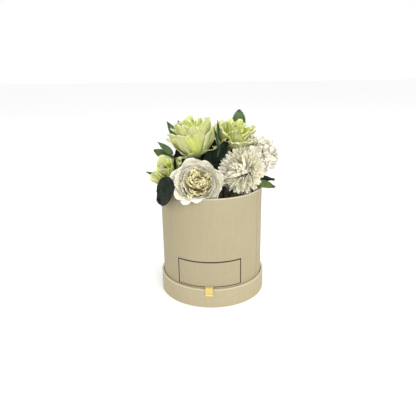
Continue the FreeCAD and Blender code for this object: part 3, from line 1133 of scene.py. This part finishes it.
@dataclass
class Bloom:
    """One flower: where its ball stands in the frame, and the petals that take the ball's place."""

    name: str
    place: Place
    radius: float
    looks: tuple[float, float]
    foot: tuple[float, float]
    roll: float = 0.0
    seed: int = 1
    body: str = "box"
    sunk: float = 38.0
    wire: float = 1.8
    over_rim: bool = False
    calyx_share = 0.95
    stem_tip_share = 0.93
    knee_drop = 16
    warp_size = 0.03
    warp_share = 0.05

    def build(self, sizes: BoxSizes) -> list[Shape]:
        """Builds, dresses and mounts the petals, the heart and the calyx, and dresses the stem.

        Args:
            sizes: the box's sizes.

        Returns:
            The new pieces.
        """
        chance = random.Random(self.seed)
        place = aimed(sizes.over_mouth(self.place), facing(*self.looks), self.roll)
        pieces = []
        parts = [*self.parts(chance), ("calyx", Shades.SEPAL, "stem_plastic", self.calyx())]
        for part, finish, slot, shapes in parts:
            piece = joined(f"{self.name}_{part}", shapes)
            piece.data.transform(place)
            warp(piece, f"{piece.name}_warp", self.warp_size, self.warp_share * self.radius * MM)
            if self.over_rim:
                rest_on_rim(piece, sizes)
            finish.dress(piece)
            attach(piece, self.body)
            pieces.append(piece)
        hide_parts(f"{self.name}_petals")
        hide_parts(f"{self.name}_core")
        return [*pieces, self.stand(sizes, place)]

    def stand(self, sizes: BoxSizes, place: Matrix) -> Shape:
        """Makes the stem from the foam into the calyx.

        Args:
            sizes: the box's sizes.
            place: the bloom's place.

        Returns:
            The stem.
        """
        bearing, inset = self.foot
        tip = place @ Vector((0, 0, -self.stem_tip_share * self.radius * MM))
        knee = place @ Vector((0, 0, (-self.calyx_share * self.radius - self.knee_drop) * MM))
        stem = stalk(
            f"{self.name}_wire",
            (sizes.over_mouth((bearing, inset, -self.sunk)), knee, tip),
            self.wire * MM,
        )
        Shades.STEM.dress(stem)
        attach(stem, self.body)
        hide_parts(f"{self.name}_stem")
        return stem

    def parts(self, chance: random.Random) -> Parts:
        """Each part's name, finish, material slot and shapes, round the origin and facing +Z."""
        raise NotImplementedError

    def calyx(self) -> list[Shape]:
        """A moulded cup under the petals with five pointed sepals."""
        bottom = -self.calyx_share * self.radius * MM
        steps = ((2.2, 0.0), (3.4, 2.0), (5.2, 5.0), (6.4, 9.0), (4.0, 11.0))
        bpy.ops.object.select_all(action="DESELECT")
        bpy.ops.mesh.primitive_circle_add(
            vertices=12, radius=steps[0][0] * MM, location=(0, 0, bottom), fill_type="NGON"
        )
        cup = bpy.context.object
        bpy.ops.object.transform_apply(location=True)
        bpy.ops.object.mode_set(mode="EDIT")
        bpy.ops.mesh.select_all(action="SELECT")
        for (before, low), (after, high) in zip(steps, steps[1:]):
            bpy.ops.mesh.extrude_region_move(TRANSFORM_OT_translate={"value": (0, 0, (high - low) * MM)})
            ratio = after / before
            bpy.ops.transform.resize(value=(ratio, ratio, 1), center_override=(0, 0, bottom + high * MM))
        bpy.ops.mesh.select_all(action="SELECT")
        bpy.ops.mesh.normals_make_consistent(inside=False)
        bpy.ops.object.mode_set(mode="OBJECT")
        shade(cup, 50.0)
        sepal = LeafCut(Outline.BLADE, teeth=5, bite=0.1, curl=20.0).build(f"{self.name}_sepal", self.seed)
        sepals = [
            copy_at(
                sepal,
                Matrix.Rotation(math.radians(72 * k), 4, "Z")
                @ Matrix.Translation((0, -4.5 * MM, bottom + 5 * MM))
                @ Matrix.Rotation(math.radians(62), 4, "X")
                @ Matrix.Diagonal((7 * MM, 12 * MM, 15 * MM, 1)),
            )
            for k in range(5)
        ]
        discard(sepal)
        return [cup, *sepals]

    def cut_several(self, cut: PetalCut, count: int) -> list[Shape]:
        """Cuts that many differently ruffled templates of a petal."""
        return [cut.build(f"{self.name}_cut", self.seed * 10 + k) for k in range(count)]

    def ring(
        self, cut: PetalCut, variants: int, whorls: Sequence[Whorl], chance: random.Random, size: float
    ) -> list[Shape]:
        """Cuts a few variants of a petal, copies them round the whorls and scales the lot.

        Args:
            cut: the petal.
            variants: how many differently ruffled templates to cut.
            whorls: the rings.
            chance: the source of irregularity.
            size: this bloom's size against the one that the whorls are given for.

        Returns:
            The copies.
        """
        templates = self.cut_several(cut, variants)
        copies = arranged(templates, whorls, chance)
        discard(*templates)
        for copy in copies:
            copy.data.transform(Matrix.Scale(size, 4))
        return copies


@dataclass
class Rose(Bloom):
    """A full cabbage rose: broad petals cupped close round a crinkled heart."""

    def parts(self, chance: random.Random) -> Parts:
        """Guard petals, the cupped petals inside them and the heart."""
        size = self.radius / 38
        guard = PetalCut(
            42, 58, widest=0.68, foot=0.25, curl=64, cup=82, roll=16, pleat=1.2, ruffle=2.6,
            ruffle_size=12.0, columns=12, rows=10,
        )
        yield "guard", Shades.WHITE, "petal_white", self.ring(
            guard, 5, [Whorl(5, 7, -25, 94, 1.0, 10, 5), Whorl(5, 8, -24, 84, 0.95, 46, 5)], chance, size
        )
        cupped = PetalCut(
            38, 50, widest=0.74, foot=0.3, curl=66, cup=92, roll=10, pleat=1.4,
            ruffle=2.4, ruffle_size=9.0, columns=12, rows=10,
        )
        yield "cupped", Shades.WHITE, "petal_white", self.ring(
            cupped,
            5,
            [
                Whorl(5, 8, -23, 77, 1.0, 22, 5),
                Whorl(5, 8, -22, 69, 0.98, 58, 5),
                Whorl(4, 7, -22, 60, 0.96, 0, 5),
            ],
            chance,
            size,
        )
        crinkle = PetalCut(
            24, 18, widest=0.8, foot=0.4, curl=14, cup=130, roll=36, pleat=5.0,
            ruffle=4.2, ruffle_size=4.5, columns=8, rows=9,
        )
        yield "heart", Shades.HEART, "flower_heart", self.ring(
            crinkle,
            6,
            [
                Whorl(10, 16, -18, 16, 1.0, 0, 14, 0.3),
                Whorl(9, 12, -17, 8, 1.05, 20, 16, 0.3),
                Whorl(7, 8, -16, 4, 1.05, 0, 16, 0.3),
                Whorl(5, 4, -15, 0, 1.0, 0, 14, 0.3),
            ],
            chance,
            size,
        )


@dataclass
class HalfOpenRose(Bloom):
    """A young rose: a few large petals, loosely folded over each other."""

    def parts(self, chance: random.Random) -> Parts:
        """Outer petals, folded inner ones and a pale heart."""
        size = self.radius / 25
        outer = PetalCut(
            31,
            32,
            widest=0.68,
            foot=0.28,
            curl=52,
            cup=72,
            roll=30,
            pleat=1.5,
            ruffle=3.0,
            ruffle_size=8.0,
        )
        yield "outer", Shades.GREEN, "petal_green", self.ring(
            outer, 4, [Whorl(5, 3, -18, 86, 1.0, 0, 7), Whorl(4, 3, -17, 66, 1.0, 40, 7)], chance, size
        )
        inner = PetalCut(
            27,
            24,
            widest=0.72,
            foot=0.3,
            curl=40,
            cup=110,
            roll=34,
            pleat=2.0,
            ruffle=3.0,
            ruffle_size=7.0,
        )
        yield "inner", Shades.LIME, "petal_green", self.ring(
            inner, 4, [
                Whorl(4, 3, -16, 44, 1.0, 0, 8, 0.1), Whorl(3, 2, -15, 26, 1.0, 30, 8, 0.1)
            ], chance, size
        )
        heart = PetalCut(
            22, 15, widest=0.75, foot=0.3, curl=20, cup=150, roll=30, ruffle=2.0, ruffle_size=6.0
        )
        yield "heart", Shades.WHITE, "flower_heart", self.ring(
            heart, 3, [Whorl(4, 2, -13, 10, 1.0, 0, 9)], chance, size
        )


@dataclass
class Chrysanthemum(Bloom):
    """A pompon: strap petals on a spiral, short and upright in the middle, long and bent back outside."""

    straps: int = 300
    young_straps: int = 60
    core_share: float = 0.5
    coverage: float = 1.72

    def parts(self, chance: random.Random) -> Parts:
        """Outer straps and the young straps of the heart."""
        strap = PetalCut(
            20.5, 7.6, widest=0.80, foot=0.45, notch=0.05, corner=0.3, curl=52, cup=62, roll=22,
            columns=4, rows=7, smooth=0,
            thickness=0.45,
        )
        young = PetalCut(
            12.5, 4.4, widest=0.6, foot=0.6, notch=0.08, curl=70, cup=140, columns=4, rows=5, smooth=0,
            thickness=0.5
        )
        yield "straps", Shades.POMPON, "petal_white", self.spiral(strap, 0.06, 1.0, self.straps, chance)
        yield "heart", Shades.POMPON, "flower_heart", self.spiral(
            young, 0.0, 0.13, self.young_straps, chance,
        )

    def spiral(
        self, cut: PetalCut, start: float, end: float, count: int, chance: random.Random
    ) -> list[Shape]:
        """Copies straps over a ball along a golden spiral.

        Args:
            cut: the strap.
            start: where on the ball the first one stands, from 0 at the middle to 1 at the back.
            end: where the last one stands.
            count: how many.
            chance: the source of irregularity.

        Returns:
            The copies.
        """
        templates = self.cut_several(cut, 3)
        root = self.radius * self.core_share * MM
        copies = []
        for step in range(count):
            share = start + (end - start) * (step + 0.5) / count
            lean = math.degrees(math.acos(1 - self.coverage * share)) + chance.uniform(-5, 5)
            angle = step * GOLDEN_ANGLE + chance.uniform(-6, 6)
            size = (0.80 + 0.25 * min(1.0, share * 3)) * chance.uniform(0.90, 1.08) * self.radius / 36
            place = (
                Matrix.Rotation(math.radians(angle), 4, "Z")
                @ Matrix.Rotation(math.radians(lean), 4, "X")
                @ Matrix.Translation((0, 0, root))
                @ Euler(
                    (math.radians(chance.uniform(-8, 8)), 0, math.radians(chance.uniform(-30, 30)))
                ).to_matrix().to_4x4()
                @ Matrix.Scale(size, 4)
            )
            copies.append(copy_at(templates[step % 3], place, chance.uniform(0.0, 0.8)))
        discard(*templates)
        return copies


@dataclass
class Hydrangea(Bloom):
    """A mop head: florets of four broad petals over a ball."""

    florets: int = 50
    spread: float = 17.0
    core_share: float = 0.74
    coverage: float = 1.65
    opening: float = 58.0
    eye_opening: float = 18.0

    def parts(self, chance: random.Random) -> Parts:
        """Florets and their small eyes."""
        cut = PetalCut(
            self.spread * 0.95, self.spread, widest=0.60, foot=0.35, corner=0.34, curl=46, cup=60, roll=30,
            ruffle=1.8, ruffle_size=5.0, columns=4, rows=4, smooth=1,
        )
        templates = self.cut_several(cut, 4)
        eye = PetalCut(3.0, 2.4, curl=80, cup=140, columns=3, rows=3, smooth=0).build(f"{self.name}_eye", 0)
        petals, eyes = [], []
        root = self.radius * self.core_share * MM
        for step in range(self.florets):
            share = self.coverage * (step + 0.5) / self.florets
            lean = math.degrees(math.acos(1 - share))
            place = (
                Matrix.Rotation(math.radians(step * GOLDEN_ANGLE), 4, "Z")
                @ Matrix.Rotation(math.radians(lean), 4, "X")
                @ Matrix.Translation((0, 0, root * chance.uniform(0.9, 1.08)))
                @ Euler([math.radians(chance.uniform(-22, 22)) for _ in range(3)]).to_matrix().to_4x4()
                @ Matrix.Scale(chance.uniform(0.88, 1.1) * self.radius / 27, 4)
            )
            tone = chance.uniform(0.0, 0.7)
            for quarter in range(4):
                turned = place @ Matrix.Rotation(math.radians(90 * quarter + chance.uniform(-8, 8)), 4, "Z")
                opened = turned @ Matrix.Rotation(
                    math.radians(self.opening + chance.uniform(-14, 14)), 4, "X",
                )
                petals.append(copy_at(templates[(step + quarter) % 4], opened, tone))
                eyes.append(
                    copy_at(eye, turned @ Matrix.Rotation(math.radians(self.eye_opening), 4, "X"), tone),
                )
        discard(eye, *templates)
        yield "florets", Shades.BLUSH, "petal_blush", petals
        yield "eyes", Shades.BLUSH, "flower_heart", eyes


@dataclass
class CupBloom(Bloom):
    """An open bloom of large cloth petals that fan up and over from the calyx."""

    open: float = 0.0

    def parts(self, chance: random.Random) -> Parts:
        """Skirt, outer and inner petals, and the folded heart."""
        size = self.radius / 35
        outer = PetalCut(
            65, 47, widest=0.70, foot=0.10, curl=52, cup=62, roll=46, pleat=2.2, corner=0.3, ruffle=4.5,
            ruffle_size=12.0, columns=12, rows=12,
        )
        yield "outer", Shades.GREEN, "petal_green", self.ring(
            outer,
            5,
            [
                Whorl(5, 2, -31, 62 + self.open, 1.0, 0, 8, 0.7),
                Whorl(5, 2, -30, 48 + self.open, 0.98, 36, 8, 0.4),
            ],
            chance,
            size,
        )
        inner = PetalCut(
            63, 40, widest=0.72, foot=0.12, curl=36, cup=90, roll=36, pleat=3.0, corner=0.3, ruffle=4.5,
            ruffle_size=9.0, columns=12, rows=12,
        )
        yield "inner", Shades.LIME, "petal_green", self.ring(
            inner,
            5,
            [Whorl(6, 2, -30, 38 + self.open, 1.0, 10, 8, 0.3), Whorl(5, 2, -30, 24, 1.0, 40, 8, 0.2)],
            chance,
            size,
        )
        fold = PetalCut(
            54, 19, widest=0.62, foot=0.15, curl=46, cup=170, roll=34, pleat=3.0, ruffle=2.0,
            ruffle_size=8.0, rows=12
        )
        yield "folds", Shades.LIME, "petal_green", self.ring(
            fold, 3, [Whorl(8, 4, -31, 58 + self.open, 1.0, 14, 9, 0.0)], chance, size
        )
        skirt = PetalCut(
            36, 28, widest=0.66, foot=0.2, curl=20, cup=40, roll=30, pleat=2.0, ruffle=3.0, ruffle_size=9.0
        )
        yield "skirt", Shades.GREEN, "petal_green", self.ring(
            skirt, 3, [Whorl(5, 2, -29, 84, 1.0, 20, 8, 0.9)], chance, size
        )
        folded = PetalCut(
            54, 24, widest=0.74, foot=0.2, curl=16, cup=150, roll=24, pleat=4.0,
            ruffle=3.0, ruffle_size=8.0, columns=8, rows=10,
        )
        yield "heart", Shades.LIME, "flower_heart", self.ring(
            folded, 3, [Whorl(6, 1, -29, 10, 1.0, 0, 8, 0.1)], chance, size
        )


# ---------------------------------------------------------------------------------------------
# Leaves
# ---------------------------------------------------------------------------------------------


@dataclass
class Leaf:
    """One leaf on its wire: blades from base to tip, and the wire from the foam over a knee."""

    name: str
    blades: tuple[tuple[Place, Place, float], ...]
    looks: tuple[float, float]
    knee: Place
    foot: tuple[float, float]
    finish: Finish
    cut: LeafCut = LeafCut()
    seed: int = 1
    replaces: bool = True
    wire: float = 0.75
    sunk: float = 26.0
    body: str = "box"

    def build(self, sizes: BoxSizes) -> Shape:
        """Builds, dresses and mounts the leaf.

        Args:
            sizes: the box's sizes.

        Returns:
            The piece.
        """
        shapes = []
        upper = facing(*self.looks)
        for k, (tip_place, base_place, width) in enumerate(self.blades):
            tip, base = sizes.over_mouth(tip_place), sizes.over_mouth(base_place)
            run = tip - base
            side = run.cross(upper).normalized()
            normal = side.cross(run).normalized()
            frame = Matrix((
                (*(side * -width * MM),), (*(normal * run.length),), (*run,)
            )).transposed().to_4x4()
            template = self.cut.build(f"{self.name}_blade", self.seed * 7 + k)
            shapes.append(copy_at(template, Matrix.Translation(base) @ frame, 0.5))
            discard(template)
            bearing, inset = self.foot
            foot = sizes.over_mouth((bearing, inset, -self.sunk))
            shapes.append(
                stalk(f"{self.name}_wire", (foot, sizes.over_mouth(self.knee), base), self.wire * MM)
            )
        piece = joined(self.name if not self.replaces else f"{self.name}_blade", shapes)
        self.finish.dress(piece)
        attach(piece, self.body)
        if self.replaces:
            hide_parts(self.name)
        return piece


def leaves() -> list[Leaf]:
    """Every leaf: blades as (tip, base, width), the way its upper side looks, knee and foot of its wire."""
    dark, mid, olive = Shades.DARK_LEAF, Shades.MID_LEAF, Shades.OLIVE_LEAF
    entire = LeafCut(Outline.ROUND, teeth=8, bite=0.0, curl=18.0, crease=0.08)
    smooth = LeafCut(Outline.POINTED, teeth=7, bite=0.03, curl=24.0)
    broad = LeafCut(Outline.ROUND, teeth=9, bite=0.13, curl=26.0)
    grass = LeafCut(Outline.BLADE, teeth=6, bite=0.0, curl=14.0, crease=0.25)
    return [
        Leaf(
            "leaf_top_right",
            (((133, 22, 119), (138, 19, 84), 25),),
            (10, 10),
            (116, 31, 41),
            (135, 36),
            mid,
            broad,
        ),
        Leaf(
            "leaf_top_left",
            (((-103, 10, 103), (-110, 25, 76), 14),),
            (-10, 20),
            (-98, 27, 33),
            (-98, 30),
            mid,
        ),
        Leaf(
            "leaf_upper_left",
            (((-112, 25, 104), (-128, 33, 75), 15),),
            (-5, 15),
            (-98, 36, 44),
            (-94, 38),
            mid,
        ),
        Leaf(
            "leaf_left_high",
            (((-89, -2, 72), (-90, 22, 52), 12),),
            (0, 20),
            (-90, 24, 40),
            (-88, 26),
            mid,
        ),
        Leaf(
            "leaf_left_olive",
            (((-91, -10, 58), (-94, 21, 40), 18),),
            (0, 30),
            (-97, 22, 30),
            (-99, 24),
            olive,
            broad,
        ),
        Leaf("leaf_left_low", (((-90, -25, 21), (-91, -2, 10), 8),), (0, 40), (-92, 10, 12), (-93, 20), mid),
        Leaf(
            "leaf_rim",
            (((-61.5, -10, -16), (-36, -5, 22), 44),),
            (-46, 16),
            (-42, 12, 12),
            (-46, 24),
            dark,
            entire,
        ),
        Leaf("leaf_between", (((-57, 29, 47), (-60, 25, 17), 9),), (-20, 10), (-60, 27, 8), (-58, 30), mid),
        Leaf(
            "sprig_centre", (((23, 51, 111), (23, 47, 84), 5), ((12, 49, 101), (22, 43, 66), 5)),
            (10, 10), (26, 66, 44), (38, 62), mid, grass,
        ),
        Leaf(
            "leaf_centre",
            (((52, 46, 81), (17, 56, 46), 18),),
            (0, 20),
            (12, 60, 34),
            (23, 70),
            dark,
            smooth,
        ),
        Leaf(
            "leaf_right",
            (((86, -21, 10), (84, 14, 8), 15),),
            (0, 60),
            (77, 20, 8),
            (76, 28),
            dark,
            smooth,
        ),
        Leaf(
            "leaf_right_low",
            (((80, -22, 0), (72, 10, 7), 18),),
            (0, 60),
            (72, 20, 9),
            (72, 26),
            olive,
            broad,
        ),
        Leaf(
            "filler_left",
            (((-76, 26, 50), (-62, 42, 12), 26),),
            (-20, 8),
            (-64, 46, 0),
            (-66, 48),
            dark,
            smooth,
            31,
            False,
        ),
        Leaf(
            "filler_side",
            (((-103, 26, 58), (-96, 40, 14), 28),),
            (-30, 5),
            (-98, 46, 0),
            (-98, 48),
            dark,
            smooth,
            32,
            False,
        ),
        Leaf(
            "filler_middle",
            (((8, 60, 70), (-2, 62, 14), 32),),
            (0, 8),
            (0, 62, 0),
            (0, 64),
            dark,
            smooth,
            33,
            False,
        ),
        Leaf(
            "filler_right",
            (((62, 46, 62), (60, 56, 12), 30),),
            (10, 8),
            (60, 60, 0),
            (60, 62),
            dark,
            smooth,
            34,
            False,
        ),
        Leaf(
            "filler_back",
            (((176, 66, 78), (180, 62, 14), 44),),
            (0, 5),
            (180, 60, 0),
            (180, 62),
            dark,
            smooth,
            35,
            False,
        ),
        Leaf(
            "filler_low",
            (((22, 26, 26), (8, 44, -6), 26),),
            (0, 50),
            (6, 50, -12),
            (5, 52),
            dark,
            smooth,
            36,
            False,
        ),
        Leaf(
            "leaf_back_left",
            (((-165, -14, 22), (-168, 12, 14), 22),),
            (-165, 60),
            (-168, 22, 10),
            (-168, 30),
            mid,
            broad,
        ),
        Leaf(
            "leaf_back_right",
            (((172, -6, 46), (174, 14, 22), 20),),
            (172, 35),
            (174, 24, 10),
            (174, 30),
            olive,
            broad,
        ),
    ]


# ---------------------------------------------------------------------------------------------
# Ribbon
# ---------------------------------------------------------------------------------------------


@dataclass
class PullRibbon:
    """The satin pull: glued under the tray, out under the drawer's face and down over the lid."""

    name: str = "pull_ribbon"
    width: float = 12.8
    hem: float = 3.2
    bend: float = 1.2
    thickness: float = 0.3
    across: int = 6

    def route(self) -> list[tuple[float, float]]:
        """The strip's line as places in Y and Z, in metres, from the glued end to the hem."""
        anchor_low, anchor_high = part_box("ribbon_anchor")
        tab_low, tab_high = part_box("ribbon_tab")
        level = (anchor_low.z + anchor_high.z) / 2
        hang = (tab_low.y + tab_high.y) / 2
        bend, fold = self.bend * MM, self.thickness * MM
        line = [(anchor_high.y, level), ((anchor_high.y + hang) / 2, level)]
        line += [
            (hang + bend - bend * math.sin(turn), level - bend + bend * math.cos(turn))
            for turn in (math.radians(30 * k) for k in range(4))
        ]
        line += [(hang, level + (tab_low.z - level) * share) for share in (0.35, 0.6, 0.8)]
        line += [(hang, tab_low.z + fold), (hang - fold, tab_low.z), (hang - 2 * fold, tab_low.z + fold)]
        return line + [(hang - 2.2 * fold, tab_low.z + self.hem * share * MM) for share in (0.5, 1.0)]

    def build(self) -> Shape:
        """Lays the strip along its route, dresses it and hides the anchor and the tab that it replaces."""
        line = self.route()
        bpy.ops.object.select_all(action="DESELECT")
        bpy.ops.mesh.primitive_grid_add(x_subdivisions=self.across, y_subdivisions=len(line) - 1, size=1.0)
        strip = bpy.context.object
        strip.name = self.name
        bpy.ops.object.mode_set(mode="EDIT")
        bpy.ops.mesh.select_all(action="SELECT")
        bpy.ops.transform.resize(value=(self.width * MM, 0, 0), center_override=(0, 0, 0))
        for row, (y, z) in enumerate(line):
            select_vertices(strip, lambda v, row=row: v.index // (self.across + 1) == row)
            bpy.ops.transform.translate(value=(0, y, z))
        bpy.ops.object.mode_set(mode="OBJECT")
        thickened(strip, self.thickness * MM, smooth=1)
        shade(strip, 60.0)
        SatinRibbon("satin_gold", (0.63, 0.495, 0.155), 0.5, shade=(0.55, 0.41, 0.09)).dress(strip)
        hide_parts("ribbon_anchor", "ribbon_tab")
        length = sum(math.dist(a, b) for a, b in zip(line, line[1:]))
        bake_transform(strip)
        return strip


# ---------------------------------------------------------------------------------------------
# Camera, light and floor
# ---------------------------------------------------------------------------------------------


@dataclass(frozen=True)
class Viewpoint:
    """Where the camera stands and how it is held. Metres and degrees."""

    bearing: float = 3.8
    reach: float = 0.7365
    height: float = 0.3931
    heading: float = -4.27
    dip: float = 18.87
    roll: float = -1.0
    lens: float = 39.18

    def place(self) -> Shape:
        """Adds the camera and makes it the scene's."""
        data = bpy.data.cameras.new("camera")
        data.lens, data.sensor_width = self.lens, 36.0
        data.clip_start, data.clip_end = 0.01, 100.0
        camera = bpy.data.objects.new("camera", data)
        bpy.context.scene.collection.objects.link(camera)
        turn = math.radians(self.bearing)
        camera.location = (self.reach * math.sin(turn), -self.reach * math.cos(turn), self.height)
        ahead = Matrix.Rotation(math.radians(-self.heading), 4, "Z")
        tilt = Matrix.Rotation(math.radians(90 - self.dip), 4, "X")
        camera.rotation_euler = (ahead @ tilt @ Matrix.Rotation(math.radians(self.roll), 4, "Z")).to_euler()
        bpy.context.scene.camera = camera
        return camera


@dataclass(frozen=True)
class Lamp:
    """One soft studio lamp."""

    name: str
    place: Place
    size: float
    power: float

    def hang(self, target: Vector) -> None:
        """Adds the lamp, aimed at the target."""
        data = bpy.data.lights.new(self.name, "AREA")
        data.shape, data.size, data.energy = "DISK", self.size, self.power
        lamp = bpy.data.objects.new(self.name, data)
        lamp.location = self.place
        lamp.rotation_euler = (target - Vector(self.place)).to_track_quat("-Z", "Y").to_euler()
        bpy.context.scene.collection.objects.link(lamp)


@dataclass(frozen=True)
class FloorPaint(Finish):
    """A matt white sweep."""

    def wire(self, wires: Wiring, shader: bpy.types.Node) -> None:
        """Barely uneven white."""
        place = wires.place()
        uneven = wires.noise(place, 3.0, 2.0)
        wires.feed(
            shader.inputs["Base Color"],
            wires.mix(wires.times(uneven, 0.05), self.colour, (0.9, 0.9, 0.9)),
        )
        shader.inputs["Roughness"].default_value = self.roughness


@dataclass
class Studio:
    """The floor, the lamps, the white surround and the camera."""

    lamps: tuple[Lamp, ...] = (
        Lamp("key", (0.9, -1.5, 1.1), 1.2, 20.0),
        Lamp("fill", (-1.3, -0.9, 0.9), 1.4, 2.0),
        Lamp("top", (0.0, 0.3, 1.8), 1.6, 6.0),
    )
    surround: float = 1.0
    floor_size: float = 12.0

    def build(self) -> None:
        """Builds the studio."""
        bpy.ops.object.select_all(action="DESELECT")
        bpy.ops.mesh.primitive_plane_add(size=self.floor_size)
        floor = bpy.context.object
        floor.name = "floor"
        FloorPaint("floor_white", (0.95, 0.95, 0.95), 0.9).dress(floor)
        world = bpy.data.worlds.new("surround")
        world.use_nodes = True
        backdrop = world.node_tree.nodes["Background"]
        backdrop.inputs["Color"].default_value = (1.0, 1.0, 1.0, 1.0)
        backdrop.inputs["Strength"].default_value = self.surround
        bpy.context.scene.world = world
        bpy.context.scene.view_settings.view_transform = "Standard"
        for lamp in self.lamps:
            lamp.hang(Vector((0, 0, 0.15)))
        Viewpoint().place()


# ---------------------------------------------------------------------------------------------
# The box
# ---------------------------------------------------------------------------------------------


@dataclass
class FlowerBox:
    """The tube, the lid, the drawer and the foam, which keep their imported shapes."""

    paper: Colour = (0.375, 0.325, 0.205)
    # The lid's paper is the tube's paper, made lighter as painted light because the lid stands lower and
    # takes less light.
    lid_paper_painted_light: Colour = (0.435, 0.37, 0.235)
    # Board seen through the gaps round the drawer and under the lid, coloured near black as painted shade.
    shaded_board_nodes: tuple[str, ...] = (
        "lid_plate", "lid_ring", "tube_wall", "tube_floor", "drawer_shelf", "divider_floor", "guide_left",
        "guide_right", "back_stop", "drawer_face",
    )
    tray_nodes: tuple[str, ...] = ("tray_base", "tray_left", "tray_right", "tray_back", "tray_front")

    def opening(self) -> tuple[float, float, float]:
        """Half the width, the bottom and the top of the drawer's face, in metres."""
        low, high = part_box("drawer_face_wrap")
        return (high.x - low.x) / 2, low.z, high.z

    def dress(self, sizes: BoxSizes) -> None:
        """Papers what is papered and leaves the rest as board and foam."""
        # Paper for the tube and the drawer's face, with a painted highlight at the mouth's height and a
        # painted shadow round the drawer's opening.
        cover = LinenPaper(
            "linen_cover", self.paper, 0.85, shade=(0.335, 0.28, 0.165), edge=(0.62, 0.56, 0.40),
            radius=sizes.radius, lip_highlights=(sizes.mouth,), opening=self.opening(),
        )
        nodes = bpy.data.objects
        cover.dress(nodes["tube_wrap"], nodes["drawer_face_wrap"])
        # The lid's paper, lighter than the tube's as painted light, with the painted highlight at the lid's
        # top edge and no shadow band.
        lid = replace(
            cover,
            name="linen_lid",
            colour=self.lid_paper_painted_light,
            shade=(0.38, 0.32, 0.195),
            lip_highlights=(sizes.lid_top,),
            opening=None,
        )
        lid.dress(nodes["lid_wrap"])
        # Near-black board colour: painted shade for the gaps round the drawer and between lid and tube; the
        # hidden tray keeps a plain board colour.
        dark = Greyboard("dark_board", (0.055, 0.045, 0.032), 0.9, fleck=(0.035, 0.028, 0.02))
        dark.dress(*(nodes[name] for name in self.shaded_board_nodes))
        tray = Greyboard("tray_board", (0.34, 0.29, 0.19), 0.9, fleck=(0.22, 0.18, 0.11))
        tray.dress(*(nodes[name] for name in self.tray_nodes))
        DryFoam("dry_foam", (0.23, 0.195, 0.105), 0.95).dress(nodes["foam_block"])


def flowers() -> list[Bloom]:
    """The arrangement: each flower's (bearing, inset, rise), radius, aim and stem's foot."""
    return [
        Rose("rose_front", (-13, 10, 22.5), 35.5, (2, 28), (-55, 66), roll=32, seed=3, over_rim=True),
        Chrysanthemum("chrysanthemum", (52, 20, 33), 35.5, (-50, 18), (84, 34), seed=5),
        Hydrangea("hydrangea_right", (95, 6, 49), 28, (55, 30), (108, 36), seed=7),
        CupBloom("green_left", (-82, 56, 77), 35, (-120, 68), (-96, 58), seed=11),
        CupBloom("green_right", (106, 44, 77), 29, (50, 78), (106, 53), seed=13, open=4.0),
        HalfOpenRose("rose_left", (-68, 8, 30), 27.5, (-35, 36), (-68, 32), seed=17),
        Rose("rose_back", (-139, 21, 30), 33, (-140, 42), (-139, 54), seed=19),
        Hydrangea("hydrangea_back", (153, 20, 38), 30, (152, 42), (153, 50), seed=23),
    ]


def main() -> None:
    """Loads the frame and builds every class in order."""
    logging.basicConfig(level=logging.INFO, format="%(name)s: %(message)s")
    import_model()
    sizes = BoxSizes.read()
    Studio().build()
    FlowerBox().dress(sizes)
    LOG.info("box dressed")
    for bloom in flowers():
        for piece in bloom.build(sizes):
            LOG.info("%s: %d faces", piece.name, len(piece.data.polygons))
    for leaf in leaves():
        LOG.info("%s: %d faces", leaf.name, len(leaf.build(sizes).data.polygons))
    LOG.info("%s laid", PullRibbon().build().name)


if __name__ == "__main__":
    main()
